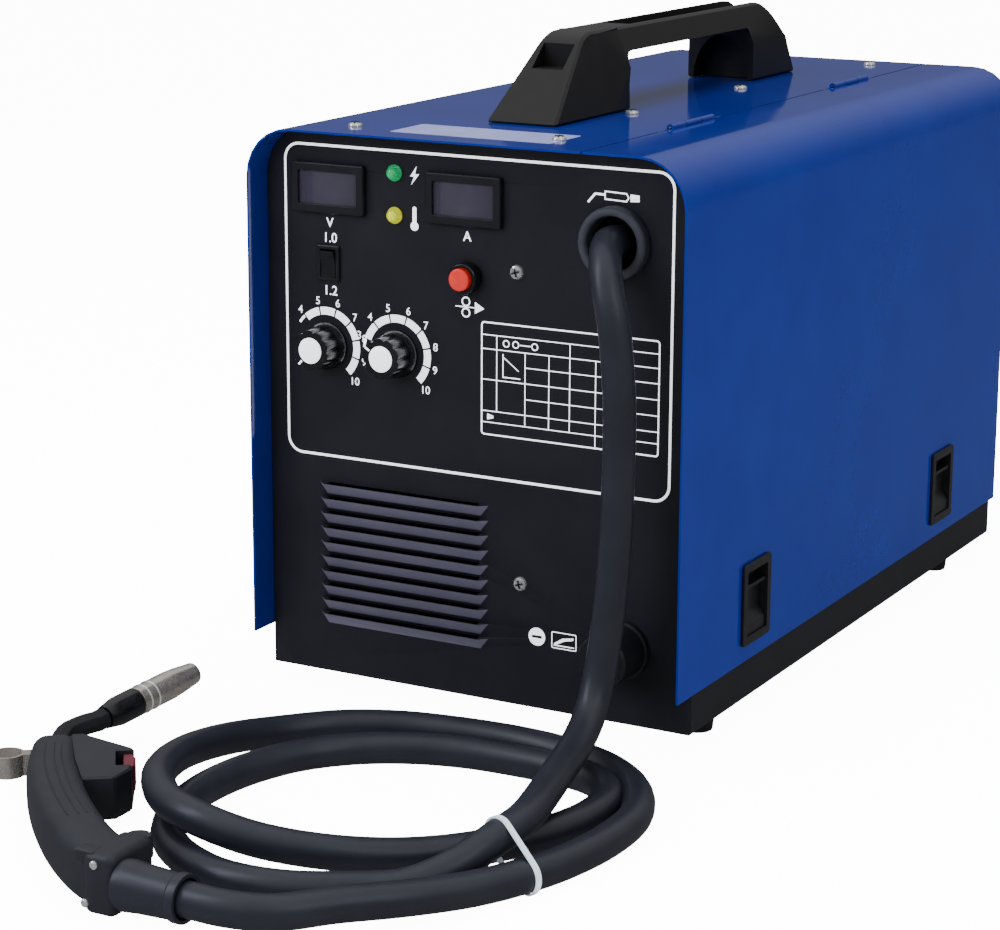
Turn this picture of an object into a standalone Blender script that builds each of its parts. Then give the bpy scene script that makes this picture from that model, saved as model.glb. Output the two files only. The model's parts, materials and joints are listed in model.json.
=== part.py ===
"""Portable inverter MIG welder with its torch and torch hose.

Case coordinates: X to the right seen from the front, Y towards the back, Z up. The front panel's
face is Y = 0 and the underside of the base tray is Z = 0. Everything hangs on the empty "welder",
which puts the floor at Z = 0 and the footprint of case and torch round the origin.
"""

import math

import bmesh
import bpy
from mathutils import Matrix, Vector

# ---- driving dimensions, in metres ----
gap = 0.0003                 # between pieces that touch
case_width = 0.2771          # outside of the blue cover
case_height = 0.3233         # top of the cover above the tray's underside
chassis_length = 0.491       # front panel's face to rear panel's back
front_overhang = 0.0197      # cover in front of the panel
rear_overhang = 0.0051       # cover behind the rear panel
cover_bottom = 0.0238        # lower edge of the cover above the tray's underside
cover_corner = 0.0284        # outside bend radius of the cover
cover_sheet = 0.0012
chassis_sheet = 0.002
cover_clearance = 0.0005     # chassis to the inside of the cover
tray_flange = 0.031
foot_height = 0.012
foot_radius = 0.0105
foot_inset_x = 0.016
foot_front_y = 0.045
foot_rear_y = 0.425
seam_x = 0.0755              # where the door parts from the fixed cover
seam_gap = 0.0012
hinge_length = 0.056
hinge_y = (0.118, 0.357)
knuckle_radius = 0.0022
knuckle_clearance = 0.0005
pin_radius = 0.0008
hinge_rise = 0.0006          # hinge axis above the top of the cover
latch_width = 0.038
latch_height = 0.0485
latch_y = (0.082, 0.385)
latch_z = 0.058
latch_rim = 0.0033
latch_depth = 0.008
latch_travel = 0.008
divider_x = 0.018
divider_sheet = 0.0015

handle_x = -0.0056
handle_base_width = 0.046
handle_top_width = 0.025
handle_height = 0.048
handle_front = 0.062
handle_rear = 0.404
handle_shoulder = 0.025      # height where the sides of the grip start to lean in
front_bend = (0.1256, 0.023, 0.025)   # centre's Y, its height, and the radius
rear_bend = (0.360, 0.022, 0.026)
front_slope = 41.6
rear_slope = 58.4
finger_gap_front = 0.157
finger_gap_rear = 0.335
finger_gap_height = 0.034
trough_width = 0.018
trough_front = 0.182
trough_floor = 0.039
pocket_width = 0.020
pocket_span = (0.0285, 0.042)
pocket_back = 0.1095
dome_half_width = 0.0195
dome_height = 0.0295
dome_depth = 0.015

meter_size = (0.048, 0.029)
meter_window_size = (0.0388, 0.0190)
meter_centres = ((-0.0945, 0.2887), (-0.0060, 0.2887))
meter_body = (0.040, 0.022, 0.018)
lamp_x = -0.0514
lamp_z = (0.3005, 0.2765)
lamp_radius = 0.0048
rocker_centre = (-0.0957, 0.2453)
rocker_size = (0.015, 0.021)
rocker_tilt = 10
button_centre = (-0.0042, 0.2455)
button_collar_radius = 0.0090
button_radius = 0.0064
button_travel = 0.003
knob_centres = ((-0.098, 0.197), (-0.051, 0.197))
knob_radius = 0.0118
knob_skirt = 0.0140
knob_length = 0.018
knob_scallops = 9
scallop_depth = 0.0013
knob_shaft = 0.003
grommet_centre = (0.0876, 0.2726)
grommet_radius = 0.0205
grommet_opening = 0.0152
socket_centre = (0.0950, 0.0440)
socket_radius = 0.0155
socket_length = 0.028
socket_bore = 0.0047
louvre_count = 10
louvre_pitch = 0.00877
louvre_lowest = 0.0364
louvre_left = -0.1035
louvre_right = 0.0090
louvre_rise = 0.0065
louvre_depth = 0.0045

fan_centre = (-0.060, 0.150)
fan_size = 0.120
fan_depth = 0.025
fan_radius = 0.054
power_switch_centre = (0.060, 0.262)
power_switch_size = (0.022, 0.030)
gland_centre = (0.090, 0.052)
gas_inlet_centre = (0.045, 0.052)

spool_centre = (0.335, 0.150)
spool_radius = 0.100
spool_width = 0.054
spool_drum = 0.050
spool_bore = 0.0255
wire_pack = 0.085
spool_left = 0.050
hub_radius = 0.0248
feed_y = 0.075
drive_roll_radius = 0.015
pressure_roll_radius = 0.0115
roll_width = 0.010
roll_shaft = 0.0035
arm_pivot_y = 0.108
arm_tip_y = 0.046
arm_drop = 0.016

hose_diameter = 0.018
torch_height = 0.0165        # torch centreline above the floor
grip_sizes = ((0.024, 0.027), (0.029, 0.031), (0.030, 0.032), (0.029, 0.032))   # width and height along it
trigger_housing_height = 0.024
nose_share = 0.86            # of the grip's section, at its very end
insulator_length = 0.0255
nozzle_length = 0.050
nozzle_base = 0.0084
nozzle_tip = 0.0064

# The hose's route from the grommet to the torch, in millimetres of case X, Y and height of its centre.
hose_route = (
    (87.6, 5, 272.6), (89.8, -14, 274.3), (96, -30, 265.5), (102.5, -38, 250), (107.5, -41, 233.5), (112, -43, 196.5),
    (113, -45, 160), (113, -47, 125), (112, -49.5, 93.5), (110.4, -54, 61), (109, -60, 40), (110, -72, 26),
    (114, -95, 18.5), (121, -125, 17), (130, -160, 17), (135.5, -190, 15.5), (131.5, -214, 11.5),
    (122, -236, 3.5), (106, -256, -3), (84, -273, -3), (56, -287, -3), (25, -290, -3), (-4, -280.5, -3),
    (-28, -263, -3), (-44, -239, -3), (-52.5, -212, -3), (-54.5, -184, -3), (-50, -154, -3), (-38, -125, -3),
    (-18, -102, -3), (8, -86, -3), (38, -77, -3), (72, -74.5, -3), (102, -76, -3), (124, -84, -3),
    (138, -103, -3), (141, -128, -3), (135, -156, -3), (121, -183, -3), (102, -208, -3), (80, -231, -1),
    (55, -253, 4), (27, -268, 10), (-3, -272, 16.2), (-30, -261, 17.3), (-53, -237, 16.8), (-69, -206, 13),
    (-79, -170, 7.5), (-79, -132, 2), (-67, -97, -2.5), (-44, -72, -3), (-14, -57, -3), (20, -50, -3),
    (55, -47.5, -3), (90, -51.5, -3), (122, -64, -3), (147, -87, -3), (162, -119, -3), (164.5, -153, -3),
    (160, -186, -3), (150.5, -216, -2.8), (137, -247, -1.5), (118, -277, 0.8), (96, -303, 2.5),
    (78, -325.5, 3.3), (57, -335.2, 4.2), (30, -335.9, 4.5), (8, -335.4, 4.5),
)
hose_point_step = 0.050

# ---- sizes that follow ----
half_width = case_width / 2
inner_half = half_width - cover_sheet - cover_clearance
panel_top = case_height - cover_sheet - cover_clearance
panel_corner = cover_corner - cover_sheet - cover_clearance
door_inner = half_width - cover_sheet
inside_top = case_height - cover_sheet - gap
hinge_z = case_height + hinge_rise
bay_left = divider_x + divider_sheet
feed_x, feed_z = grommet_centre
arm_x = feed_x + 0.009
floor_z = -foot_height
torch_z = floor_z + torch_height

for old in list(bpy.data.objects):
    bpy.data.objects.remove(old, do_unlink=True)
parts = bpy.data.collections.new("mig_welder")
helpers = bpy.data.collections.new("construction")
bpy.context.scene.collection.children.link(parts)
bpy.context.scene.collection.children.link(helpers)


# ---- materials ----
def material(name, colour, roughness, metallic=0.0):
    made = bpy.data.materials.new(name)
    made.use_nodes = True
    shader = made.node_tree.nodes["Principled BSDF"]
    shader.inputs["Base Color"].default_value = (*colour, 1.0)
    shader.inputs["Roughness"].default_value = roughness
    shader.inputs["Metallic"].default_value = metallic
    return made


blue_enamel = material("blue_enamel", (0.006, 0.040, 0.330), 0.35)
black_enamel = material("black_enamel", (0.017, 0.016, 0.020), 0.45)
black_plastic = material("black_plastic", (0.013, 0.013, 0.014), 0.40)
display_plastic = material("display_plastic", (0.030, 0.016, 0.013), 0.20)
green_lens = material("green_lens", (0.010, 0.300, 0.120), 0.20)
yellow_lens = material("yellow_lens", (0.600, 0.560, 0.020), 0.20)
red_plastic = material("red_plastic", (0.600, 0.030, 0.020), 0.40)
maroon_plastic = material("maroon_plastic", (0.120, 0.015, 0.020), 0.40)
rubber = material("rubber", (0.022, 0.023, 0.028), 0.50)
steel = material("steel", (0.550, 0.550, 0.560), 0.35, 1.0)
nickel = material("nickel", (0.620, 0.600, 0.570), 0.25, 1.0)
brass = material("brass", (0.700, 0.480, 0.160), 0.35, 1.0)
copper_wire = material("copper_wire", (0.720, 0.330, 0.180), 0.35, 1.0)
aluminium = material("aluminium", (0.700, 0.710, 0.720), 0.40, 1.0)
zinc = material("zinc", (0.480, 0.490, 0.500), 0.45, 1.0)
board_green = material("board_green", (0.020, 0.160, 0.060), 0.50)
grey_plastic = material("grey_plastic", (0.250, 0.250, 0.260), 0.50)


# ---- shape helpers ----
def from_bmesh(name, bm):
    bmesh.ops.recalc_face_normals(bm, faces=bm.faces)
    mesh = bpy.data.meshes.new(name)
    bm.to_mesh(mesh)
    bm.free()
    obj = bpy.data.objects.new(name, mesh)
    parts.objects.link(obj)
    return obj


def box(name, low, high):
    low, high = Vector(low), Vector(high)
    bm = bmesh.new()
    size = Matrix.Diagonal((*(high - low), 1.0))
    bmesh.ops.create_cube(bm, size=1.0, matrix=Matrix.Translation((low + high) / 2) @ size)
    return from_bmesh(name, bm)


def along(start, end):
    """Places a shape made along +Z so that it starts at start and points to end."""
    start, end = Vector(start), Vector(end)
    return Matrix.Translation(start) @ Vector((0, 0, 1)).rotation_difference(end - start).to_matrix().to_4x4()


def cylinder(name, radius, start, end, segments=20, end_radius=None):
    length = (Vector(end) - Vector(start)).length
    bm = bmesh.new()
    bmesh.ops.create_cone(
        bm, cap_ends=True, segments=segments, radius1=radius,
        radius2=radius if end_radius is None else end_radius, depth=length,
        matrix=along(start, end) @ Matrix.Translation((0, 0, length / 2)),
    )
    return from_bmesh(name, bm)


def baked(obj):
    """Turns an object and its modifiers into a plain mesh with welded seams."""
    bpy.context.view_layer.update()
    graph = bpy.context.evaluated_depsgraph_get()
    mesh = bpy.data.meshes.new_from_object(obj.evaluated_get(graph))
    bm = bmesh.new()
    bm.from_mesh(mesh)
    bpy.data.meshes.remove(mesh)
    bmesh.ops.transform(bm, matrix=obj.matrix_world, verts=bm.verts)
    bmesh.ops.remove_doubles(bm, verts=bm.verts, dist=1e-6)
    name = obj.name
    bpy.data.objects.remove(obj, do_unlink=True)
    return from_bmesh(name, bm)


def turned(name, profile, start, end, segments=24):
    """A profile of (radius, height) points turned round the line from start towards end."""
    mesh = bpy.data.meshes.new(name)
    count = len(profile)
    ring = profile[0][0] > 0
    edges = [(i, (i + 1) % count) for i in range(count if ring else count - 1)]
    mesh.from_pydata([(r, 0, h) for r, h in profile], edges, [])
    obj = bpy.data.objects.new(name, mesh)
    parts.objects.link(obj)
    screw = obj.modifiers.new("turn", "SCREW")
    screw.steps = screw.render_steps = segments
    screw.use_merge_vertices = True
    screw.merge_threshold = 1e-5
    obj.matrix_world = along(start, end)
    return baked(obj)


plane_turns = {
    "XY": Matrix.Identity(4),
    "XZ": Matrix(((1, 0, 0, 0), (0, 0, 1, 0), (0, 1, 0, 0), (0, 0, 0, 1))),
    "YZ": Matrix(((0, 0, 1, 0), (1, 0, 0, 0), (0, 1, 0, 0), (0, 0, 0, 1))),
}


def plate(name, outlines, low, high, plane="XZ"):
    """Flat outlines in a plane, drawn from low to high along the third axis."""
    if not isinstance(outlines[0][0], (tuple, list)):
        outlines = [outlines]
    curve = bpy.data.curves.new(name, "CURVE")
    curve.dimensions = "2D"
    curve.fill_mode = "BOTH"
    curve.extrude = (high - low) / 2
    for outline in outlines:
        line = curve.splines.new("POLY")
        line.points.add(len(outline) - 1)
        for point, (u, v) in zip(line.points, outline):
            point.co = (u, v, 0, 1)
        line.use_cyclic_u = True
    obj = bpy.data.objects.new(name, curve)
    parts.objects.link(obj)
    obj.matrix_world = plane_turns[plane] @ Matrix.Translation((0, 0, (low + high) / 2))
    return baked(obj)


def arc(centre, radius, first, last, steps=6):
    angles = [math.radians(first + (last - first) * i / steps) for i in range(steps + 1)]
    return [(centre[0] + radius * math.cos(a), centre[1] + radius * math.sin(a)) for a in angles]


def rounded(centre, size, radius, steps=3):
    u, v = size[0] / 2 - radius, size[1] / 2 - radius
    corners = ((u, v, 0), (-u, v, 90), (-u, -v, 180), (u, -v, 270))
    return [
        point
        for du, dv, turn in corners
        for point in arc((centre[0] + du, centre[1] + dv), radius, turn, turn + 90, steps)
    ]


def circle(centre, radius, segments=20):
    return arc(centre, radius, 0, 360 * (segments - 1) / segments, segments - 1)


def hull(name, points):
    bm = bmesh.new()
    for point in points:
        bm.verts.new(point)
    bmesh.ops.convex_hull(bm, input=bm.verts)
    return from_bmesh(name, bm)


def grouped(objects):
    """Puts the shapes of several objects, which don't meet, into the first one's mesh."""
    first = objects[0]
    bm = bmesh.new()
    for obj in objects:
        bm.from_mesh(obj.data)
    bm.to_mesh(first.data)
    bm.free()
    for obj in objects[1:]:
        bpy.data.objects.remove(obj, do_unlink=True)
    return first


def combined(operation, target, tools):
    for tool in tools:
        step = target.modifiers.new("boolean", "BOOLEAN")
        step.operation = operation
        step.object = tool
        target = baked(target)
        bpy.data.objects.remove(tool, do_unlink=True)
    return target


def cut(target, *tools):
    return combined("DIFFERENCE", target, tools)


def join(target, *tools):
    return combined("UNION", target, tools)


def softened(obj, width, segments=1, angle=35):
    bevel = obj.modifiers.new("edges", "BEVEL")
    bevel.width = width
    bevel.segments = segments
    bevel.limit_method = "ANGLE"
    bevel.angle_limit = math.radians(angle)
    return baked(obj)


def loft(name, rings):
    """A closed solid through rings of the same number of points."""
    bm = bmesh.new()
    rows = [[bm.verts.new(point) for point in ring] for ring in rings]
    for low, high in zip(rows, rows[1:]):
        for i in range(len(low)):
            j = (i + 1) % len(low)
            bm.faces.new((low[i], low[j], high[j], high[i]))
    bm.faces.new(rows[0])
    bm.faces.new(rows[-1])
    return from_bmesh(name, bm)


def smooth_line(points, step):
    """Points about step apart on the smooth curve through the given ones."""
    points = [Vector(p) for p in points]
    ends = [2 * points[0] - points[1]] + points + [2 * points[-1] - points[-2]]
    fine = []
    for a, b, c, d in zip(ends, ends[1:], ends[2:], ends[3:]):
        for i in range(16):
            t = i / 16
            fine.append(0.5 * (2 * b + (c - a) * t + (2 * a - 5 * b + 4 * c - d) * t * t
                               + (3 * b - a - 3 * c + d) * t ** 3))
    fine.append(points[-1])
    lengths = [0.0]
    for a, b in zip(fine, fine[1:]):
        lengths.append(lengths[-1] + (b - a).length)
    count = max(2, round(lengths[-1] / step))
    line, at = [], 0
    for i in range(count + 1):
        wanted = lengths[-1] * i / count
        while at < len(fine) - 2 and lengths[at + 1] < wanted:
            at += 1
        share = (wanted - lengths[at]) / (lengths[at + 1] - lengths[at])
        line.append(fine[at].lerp(fine[at + 1], share))
    return line


def tube(name, points, radius, resolution):
    curve = bpy.data.curves.new(name, "CURVE")
    curve.dimensions = "3D"
    curve.bevel_depth = radius
    curve.bevel_resolution = resolution
    curve.use_fill_caps = True
    line = curve.splines.new("POLY")
    line.points.add(len(points) - 1)
    for place, point in zip(line.points, points):
        place.co = (*point, 1)
    obj = bpy.data.objects.new(name, curve)
    parts.objects.link(obj)
    return obj


def finish(obj, finish_material, pivot=None):
    """Gives a part its material, smooth shading and, where it moves, its origin on its axis."""
    obj.data.materials.clear()
    obj.data.materials.append(finish_material)
    if obj.type == "MESH":
        obj.data.shade_smooth()
        obj.data.set_sharp_from_angle(angle=math.radians(30))
        if pivot is not None:
            obj.data.transform(Matrix.Translation(-Vector(pivot)))
            obj.location = pivot
    return obj


def child_of(parent, obj):
    """Hangs a part on another that moves, keeping its place."""
    obj.location = Vector(obj.location) - Vector(parent.location)
    obj.parent = parent
    return obj


# ---- case ----
def make_base_tray():
    front, rear = chassis_sheet + gap, chassis_length - chassis_sheet - gap
    side, sheet = inner_half, chassis_sheet
    channel = [(-side, tray_flange), (-side, 0), (side, 0), (side, tray_flange), (side - sheet, tray_flange),
               (side - sheet, sheet), (-side + sheet, sheet), (-side + sheet, tray_flange)]
    finish(plate("base_tray", channel, front, rear), black_enamel)


def panel_outline():
    side, corner = inner_half, panel_corner
    return ([(-side, 0), (side, 0)] + arc((side - corner, panel_top - corner), corner, 0, 90)
            + arc((-side + corner, panel_top - corner), corner, 90, 180))


def louvre_hoods():
    hoods, slots = [], []
    for index in range(louvre_count):
        lip = louvre_lowest + index * louvre_pitch
        root, embed, inset = lip - louvre_rise, chassis_sheet / 4, 0.005
        left, right = louvre_left + inset, louvre_right - inset
        hoods.append(hull("hood", [
            (louvre_left, embed, lip), (louvre_right, embed, lip), (louvre_left, 0, lip), (louvre_right, 0, lip),
            (left, -louvre_depth, lip), (right, -louvre_depth, lip),
            (left, 0, root), (right, 0, root), (left, embed, root), (right, embed, root),
        ]))
        wall = 0.0012
        slots.append(plate("slot", [
            (0.003, lip + 0.0005), (wall - louvre_depth, lip + 0.0005), (wall - louvre_depth, lip),
            (0.0005, root + 0.001), (0.003, root + 0.001),
        ], left + 0.001, right - 0.001, "YZ"))
    return grouped(hoods), grouped(slots)


def make_front_panel():
    holes = [rounded(centre, (meter_body[0] + 2 * gap, meter_body[1] + 2 * gap), 0.001, 1) for centre in meter_centres]
    holes += [circle((lamp_x, z), lamp_radius - 0.0010 + gap, 12) for z in lamp_z]
    holes += [circle(centre, knob_shaft + 0.0008, 12) for centre in knob_centres]
    holes.append(rounded(rocker_centre, (rocker_size[0] - 0.0014, rocker_size[1] - 0.0014), 0.0006, 1))
    holes.append(circle(button_centre, button_radius + 0.0012 + gap, 16))
    holes.append(circle(grommet_centre, grommet_opening + 0.002 + gap, 24))
    holes.append(circle(socket_centre, 0.0085 + gap, 16))
    panel = plate("front_panel", panel_outline(), 0, chassis_sheet)
    flange_top = inside_top - cover_clearance
    panel = join(panel, box("flange", (-0.105, chassis_sheet / 2, flange_top - 0.0015), (0.070, 0.024, flange_top)))
    panel = cut(panel, plate("holes", holes, -0.01, 0.01))
    hoods, slots = louvre_hoods()
    finish(cut(join(panel, hoods), slots), black_enamel)


def make_rear_panel():
    back = chassis_length
    slots = []
    for row in range(-5, 6):
        rise = row * 0.0095
        reach = math.sqrt((fan_radius - 0.002) ** 2 - rise ** 2)
        slots.append(rounded((fan_centre[0], fan_centre[1] + rise), (2 * reach, 0.005), 0.0024, 2))
    width, height = power_switch_size
    slots.append(rounded(power_switch_centre, (width - 0.0014, height - 0.0014), 0.0006, 1))
    slots.append(circle(gland_centre, 0.0080 + gap, 16))
    slots.append(circle(gas_inlet_centre, 0.0050 + gap, 12))
    panel = plate("rear_panel", panel_outline(), back - chassis_sheet, back)
    flange_top = inside_top - cover_clearance
    flange = box("flange", (-0.105, back - 0.024, flange_top - 0.0015), (0.070, back - chassis_sheet / 2, flange_top))
    finish(cut(join(panel, flange), plate("slots", slots, back - 0.01, back + 0.01)), black_enamel)


def cover_path(inset):
    """The left side and top of the cover, from its lower edge to the seam."""
    bend = arc((-half_width + cover_corner, case_height - cover_corner), cover_corner - inset, 180, 90)
    return [(-half_width + inset, cover_bottom)] + bend + [(seam_x - seam_gap / 2, case_height - inset)]


def door_path(inset):
    bend = arc((half_width - cover_corner, case_height - cover_corner), cover_corner - inset, 90, 0)
    return [(seam_x + seam_gap / 2, case_height - inset)] + bend + [(half_width - inset, cover_bottom)]


def bent_sheet(name, path):
    outline = path(0) + path(cover_sheet)[::-1]
    return plate(name, outline, -front_overhang, chassis_length + rear_overhang)


def barrels(radius, lengths, spare=0.0):
    """Cylinders on the hinge axis: one for each (middle, length)."""
    return [
        cylinder("barrel", radius, (seam_x, middle - length / 2 - spare, hinge_z),
                 (seam_x, middle + length / 2 + spare, hinge_z), 14)
        for middle, length in lengths
    ]


def fixed_knuckles():
    return [(y, hinge_length * 0.36) for y in hinge_y]


def door_knuckles():
    length = hinge_length * 0.31
    return [(y + side * (hinge_length - length) / 2, length) for y in hinge_y for side in (-1, 1)]


def hinged(sheet, own, other):
    """Adds a sheet's own knuckles and pin holes, and cuts room for the other sheet's knuckles."""
    sheet = join(sheet, *barrels(knuckle_radius, own))
    sheet = cut(sheet, grouped(barrels(knuckle_radius + knuckle_clearance, other, knuckle_clearance)))
    return cut(sheet, grouped(barrels(pin_radius + gap, [(y, hinge_length * 1.5) for y in hinge_y])))


def make_top_cover():
    finish(hinged(bent_sheet("top_cover", cover_path), fixed_knuckles(), door_knuckles()), blue_enamel)


def make_side_door():
    door = hinged(bent_sheet("side_door", door_path), door_knuckles(), fixed_knuckles())
    hole = (latch_width - 2 * latch_rim, latch_height - 2 * latch_rim)
    holes = [rounded((y, latch_z), hole, 0.002, 2) for y in latch_y]
    door = cut(door, plate("latch_holes", holes, door_inner - 0.01, half_width + 0.01, "YZ"))
    return finish(door, blue_enamel, (seam_x, 0, hinge_z))


def make_hinge_pins():
    for place, y in zip(("front", "rear"), hinge_y):
        start, end = (seam_x, y - hinge_length / 2, hinge_z), (seam_x, y + hinge_length / 2, hinge_z)
        finish(cylinder(f"hinge_pin_{place}", pin_radius, start, end, 12), steel)


def make_latch(place, y, door):
    face = half_width + gap
    body = (latch_width - 2 * latch_rim - 2 * gap, latch_height - 2 * latch_rim - 2 * gap)
    flange = plate("flange", rounded((y, latch_z), (latch_width, latch_height), 0.0025, 2), face, face + 0.0016, "YZ")
    shell = plate("shell", rounded((y, latch_z), body, 0.0018, 2), face - latch_depth, face + 0.0008, "YZ")
    pocket = plate("pocket", rounded((y, latch_z), (body[0] - 0.0030, body[1] - 0.0030), gap, 1),
                   face - latch_depth + 0.0015, face + 0.01, "YZ")
    frame = join(flange, shell)
    frame.name = f"latch_frame_{place}"
    child_of(door, finish(cut(frame, pocket), black_plastic))
    tab_height = body[1] - 0.0030 - latch_travel - 2 * gap
    tab_low = latch_z - (body[1] - 0.0030) / 2 + gap
    tab_half = (body[0] - 0.0030) / 2 - gap
    inner, outer = face - latch_depth + 0.0015 + gap, face + 0.0004
    low, high = tab_low, tab_low + tab_height
    profile = [(inner, low), (outer, low), (outer, low + 0.006), (inner + 0.0025, low + 0.012),
               (inner + 0.0025, high - 0.004), (outer, high - 0.002), (outer, high), (inner, high)]
    tab = plate(f"latch_slide_{place}", profile, y - tab_half, y + tab_half)
    child_of(door, finish(tab, black_plastic, (outer, y, low)))


def make_divider():
    top = inside_top - cover_clearance
    flange = 0.018
    outline = [(divider_x, chassis_sheet + gap), (bay_left, chassis_sheet + gap), (bay_left, top - divider_sheet),
               (divider_x + flange, top - divider_sheet), (divider_x + flange, top), (divider_x, top)]
    wall = plate("divider", outline, 0.026, chassis_length - 0.026)
    finish(cut(wall, cylinder("shaft_hole", roll_shaft + 0.001, (0, feed_y, roll_z()), (0.03, feed_y, roll_z()), 12)), zinc)


def make_feet():
    x = inner_half - foot_inset_x
    for side, sx in (("left", -1), ("right", 1)):
        for place, y in (("front", foot_front_y), ("rear", foot_rear_y)):
            foot = cylinder(f"foot_{place}_{side}", foot_radius * 0.86, (sx * x, y, floor_z), (sx * x, y, -gap), 16, foot_radius)
            finish(foot, rubber)


def handle_envelope():
    """The space the handle fills: it narrows upwards, along its whole height at the front post only."""
    low, top = case_height - 0.001, case_height + handle_height + 0.001
    shoulder = case_height + handle_shoulder
    wide, narrow = handle_base_width / 2, handle_top_width / 2
    leaning = wide + (narrow - wide) * handle_shoulder / handle_height
    rings = []
    for y, middle in ((handle_front - 0.01, leaning), (0.135, leaning), (finger_gap_front, wide), (handle_rear + 0.01, wide)):
        half = ((wide, low), (middle, shoulder), (narrow, top))
        rings.append([(handle_x + x, y, z) for x, z in half] + [(handle_x - x, y, z) for x, z in half[::-1]])
    return loft("envelope", rings)


def make_handle():
    base = case_height + gap
    low, high = handle_x - handle_base_width / 2, handle_x + handle_base_width / 2

    def side_plate(name, points, from_x, to_x):
        return plate(name, [(y, base + h) for y, h in points], from_x, to_x, "YZ")

    outline = ([(handle_front, 0)] + arc(front_bend[:2], front_bend[2], 90 + front_slope, 90)
               + arc(rear_bend[:2], rear_bend[2], 90, 90 - rear_slope) + [(handle_rear, 0)])
    body = side_plate("carry_handle", outline, low, high)
    body = softened(combined("INTERSECT", body, [handle_envelope()]), 0.0014)
    front, rear, gap_top, corner = finger_gap_front, finger_gap_rear, finger_gap_height, 0.008
    opening = ([(front, -0.01), (rear, -0.01)] + arc((rear - 0.002, gap_top - 0.002), 0.002, 0, 90, 2)
               + arc((front + corner, gap_top - corner), corner, 90, 180, 4) + [(front - 0.0015, gap_top * 0.45)])
    body = cut(body, side_plate("finger_gap", opening, low - 0.01, high + 0.01))
    over = handle_height + 0.01
    trough = [(trough_front, over), (trough_front, handle_height), (trough_front + 0.012, trough_floor),
              (rear_bend[0] + 0.014, trough_floor), (handle_rear, trough_floor - 0.018), (handle_rear, over)]
    body = cut(body, side_plate("trough", trough, handle_x - trough_width / 2, handle_x + trough_width / 2))
    bottom, top = pocket_span
    pocket = [(handle_front, bottom), (pocket_back, bottom), (pocket_back, top), (handle_front, top)]
    body = cut(body, side_plate("pocket", pocket, handle_x - pocket_width / 2, handle_x + pocket_width / 2))
    dome = [(handle_x + dome_half_width * math.cos(a), base - 0.001 + dome_height * math.sin(a))
            for a in (math.radians(15 * i) for i in range(13))]
    finish(cut(body, plate("dome", dome, rear - 0.01, rear + dome_depth)), black_plastic)


# ---- front panel fittings ----
def make_meter(place, centre):
    front = -0.0042
    bezel = plate(f"meter_bezel_{place}", rounded(centre, meter_size, 0.0008, 1), front, -gap)
    opening = plate("opening", rounded(centre, meter_window_size, 0.0006, 1), front - 0.01, 0.01)
    body_room = plate("room", rounded(centre, (meter_body[0] + 2 * gap, meter_body[1] + 2 * gap), 0.0006, 1), front + 0.0015, 0.01)
    finish(cut(softened(bezel, 0.0010), opening, body_room), black_plastic)
    window = plate(f"meter_window_{place}", rounded(centre, meter_body[:2], 0.0005, 1), front + 0.0015 + gap, meter_body[2])
    finish(window, display_plastic)


def make_lamp(name, z, lens):
    stem = lamp_radius - 0.0010
    profile = [(0, -0.0062), (0.0020, -0.0058), (0.0036, -0.0042), (0.0040, -0.0016), (lamp_radius, -0.0014),
               (lamp_radius, -gap), (stem, -gap), (stem, 0.012), (0, 0.012)]
    finish(turned(name, profile, (lamp_x, 0, z), (lamp_x, 1, z), 16), lens)


def make_rocker(frame_name, rocker_name, centre, size, face, outward):
    """A bezel and its paddle. face is the panel's face and outward is -1 at the front, 1 at the back."""
    width, height = size
    x, z = centre

    def at(depth):
        return face + outward * depth

    def between(a, b):
        return min(at(a), at(b)), max(at(a), at(b))

    rim = plate(frame_name, rounded(centre, size, 0.0008, 1), *between(gap, 0.0018))
    shell = plate("shell", rounded(centre, (width - 0.0020, height - 0.0020), 0.0004, 1), *between(0.0010, -0.012))
    opening = (width - 0.0046, height - 0.0046)
    well = plate("well", rounded(centre, opening, 0.0003, 1), *between(0.01, -0.0105))
    finish(cut(join(softened(rim, 0.0005), shell), well), black_plastic)
    reach = opening[1] / 2 - 0.0006
    half = opening[0] / 2 - gap
    points = [(0.0030, reach), (0.0016, 0), (0.0030, -reach), (-0.0010, -reach), (-0.0055, -reach * 0.35),
              (-0.0055, reach * 0.35), (-0.0010, reach)]
    tilt = math.radians(rocker_tilt)
    tilted = [(d * math.cos(tilt) + h * math.sin(tilt), h * math.cos(tilt) - d * math.sin(tilt)) for d, h in points]
    paddle = plate(rocker_name, [(at(d), z + h) for d, h in tilted], x - half, x + half, "YZ")
    finish(paddle, black_plastic, (x, face, z))


def make_jog_button():
    x, z = button_centre
    bore = button_radius + gap
    collar = [(bore, -0.0085), (button_collar_radius - 0.0008, -0.0085), (button_collar_radius, -0.0075), (button_collar_radius, -gap),
              (button_radius + 0.0012, -gap), (button_radius + 0.0012, 0.010), (bore, 0.010)]
    finish(turned("button_collar", collar, (x, 0, z), (x, 1, z), 20), black_plastic)
    cap = [(0, -0.0122), (0.0050, -0.0121), (button_radius, -0.0114), (button_radius, 0.004), (0, 0.004)]
    finish(turned("jog_button", cap, (x, 0, z), (x, 1, z), 20), red_plastic, (x, -0.008, z))


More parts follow.
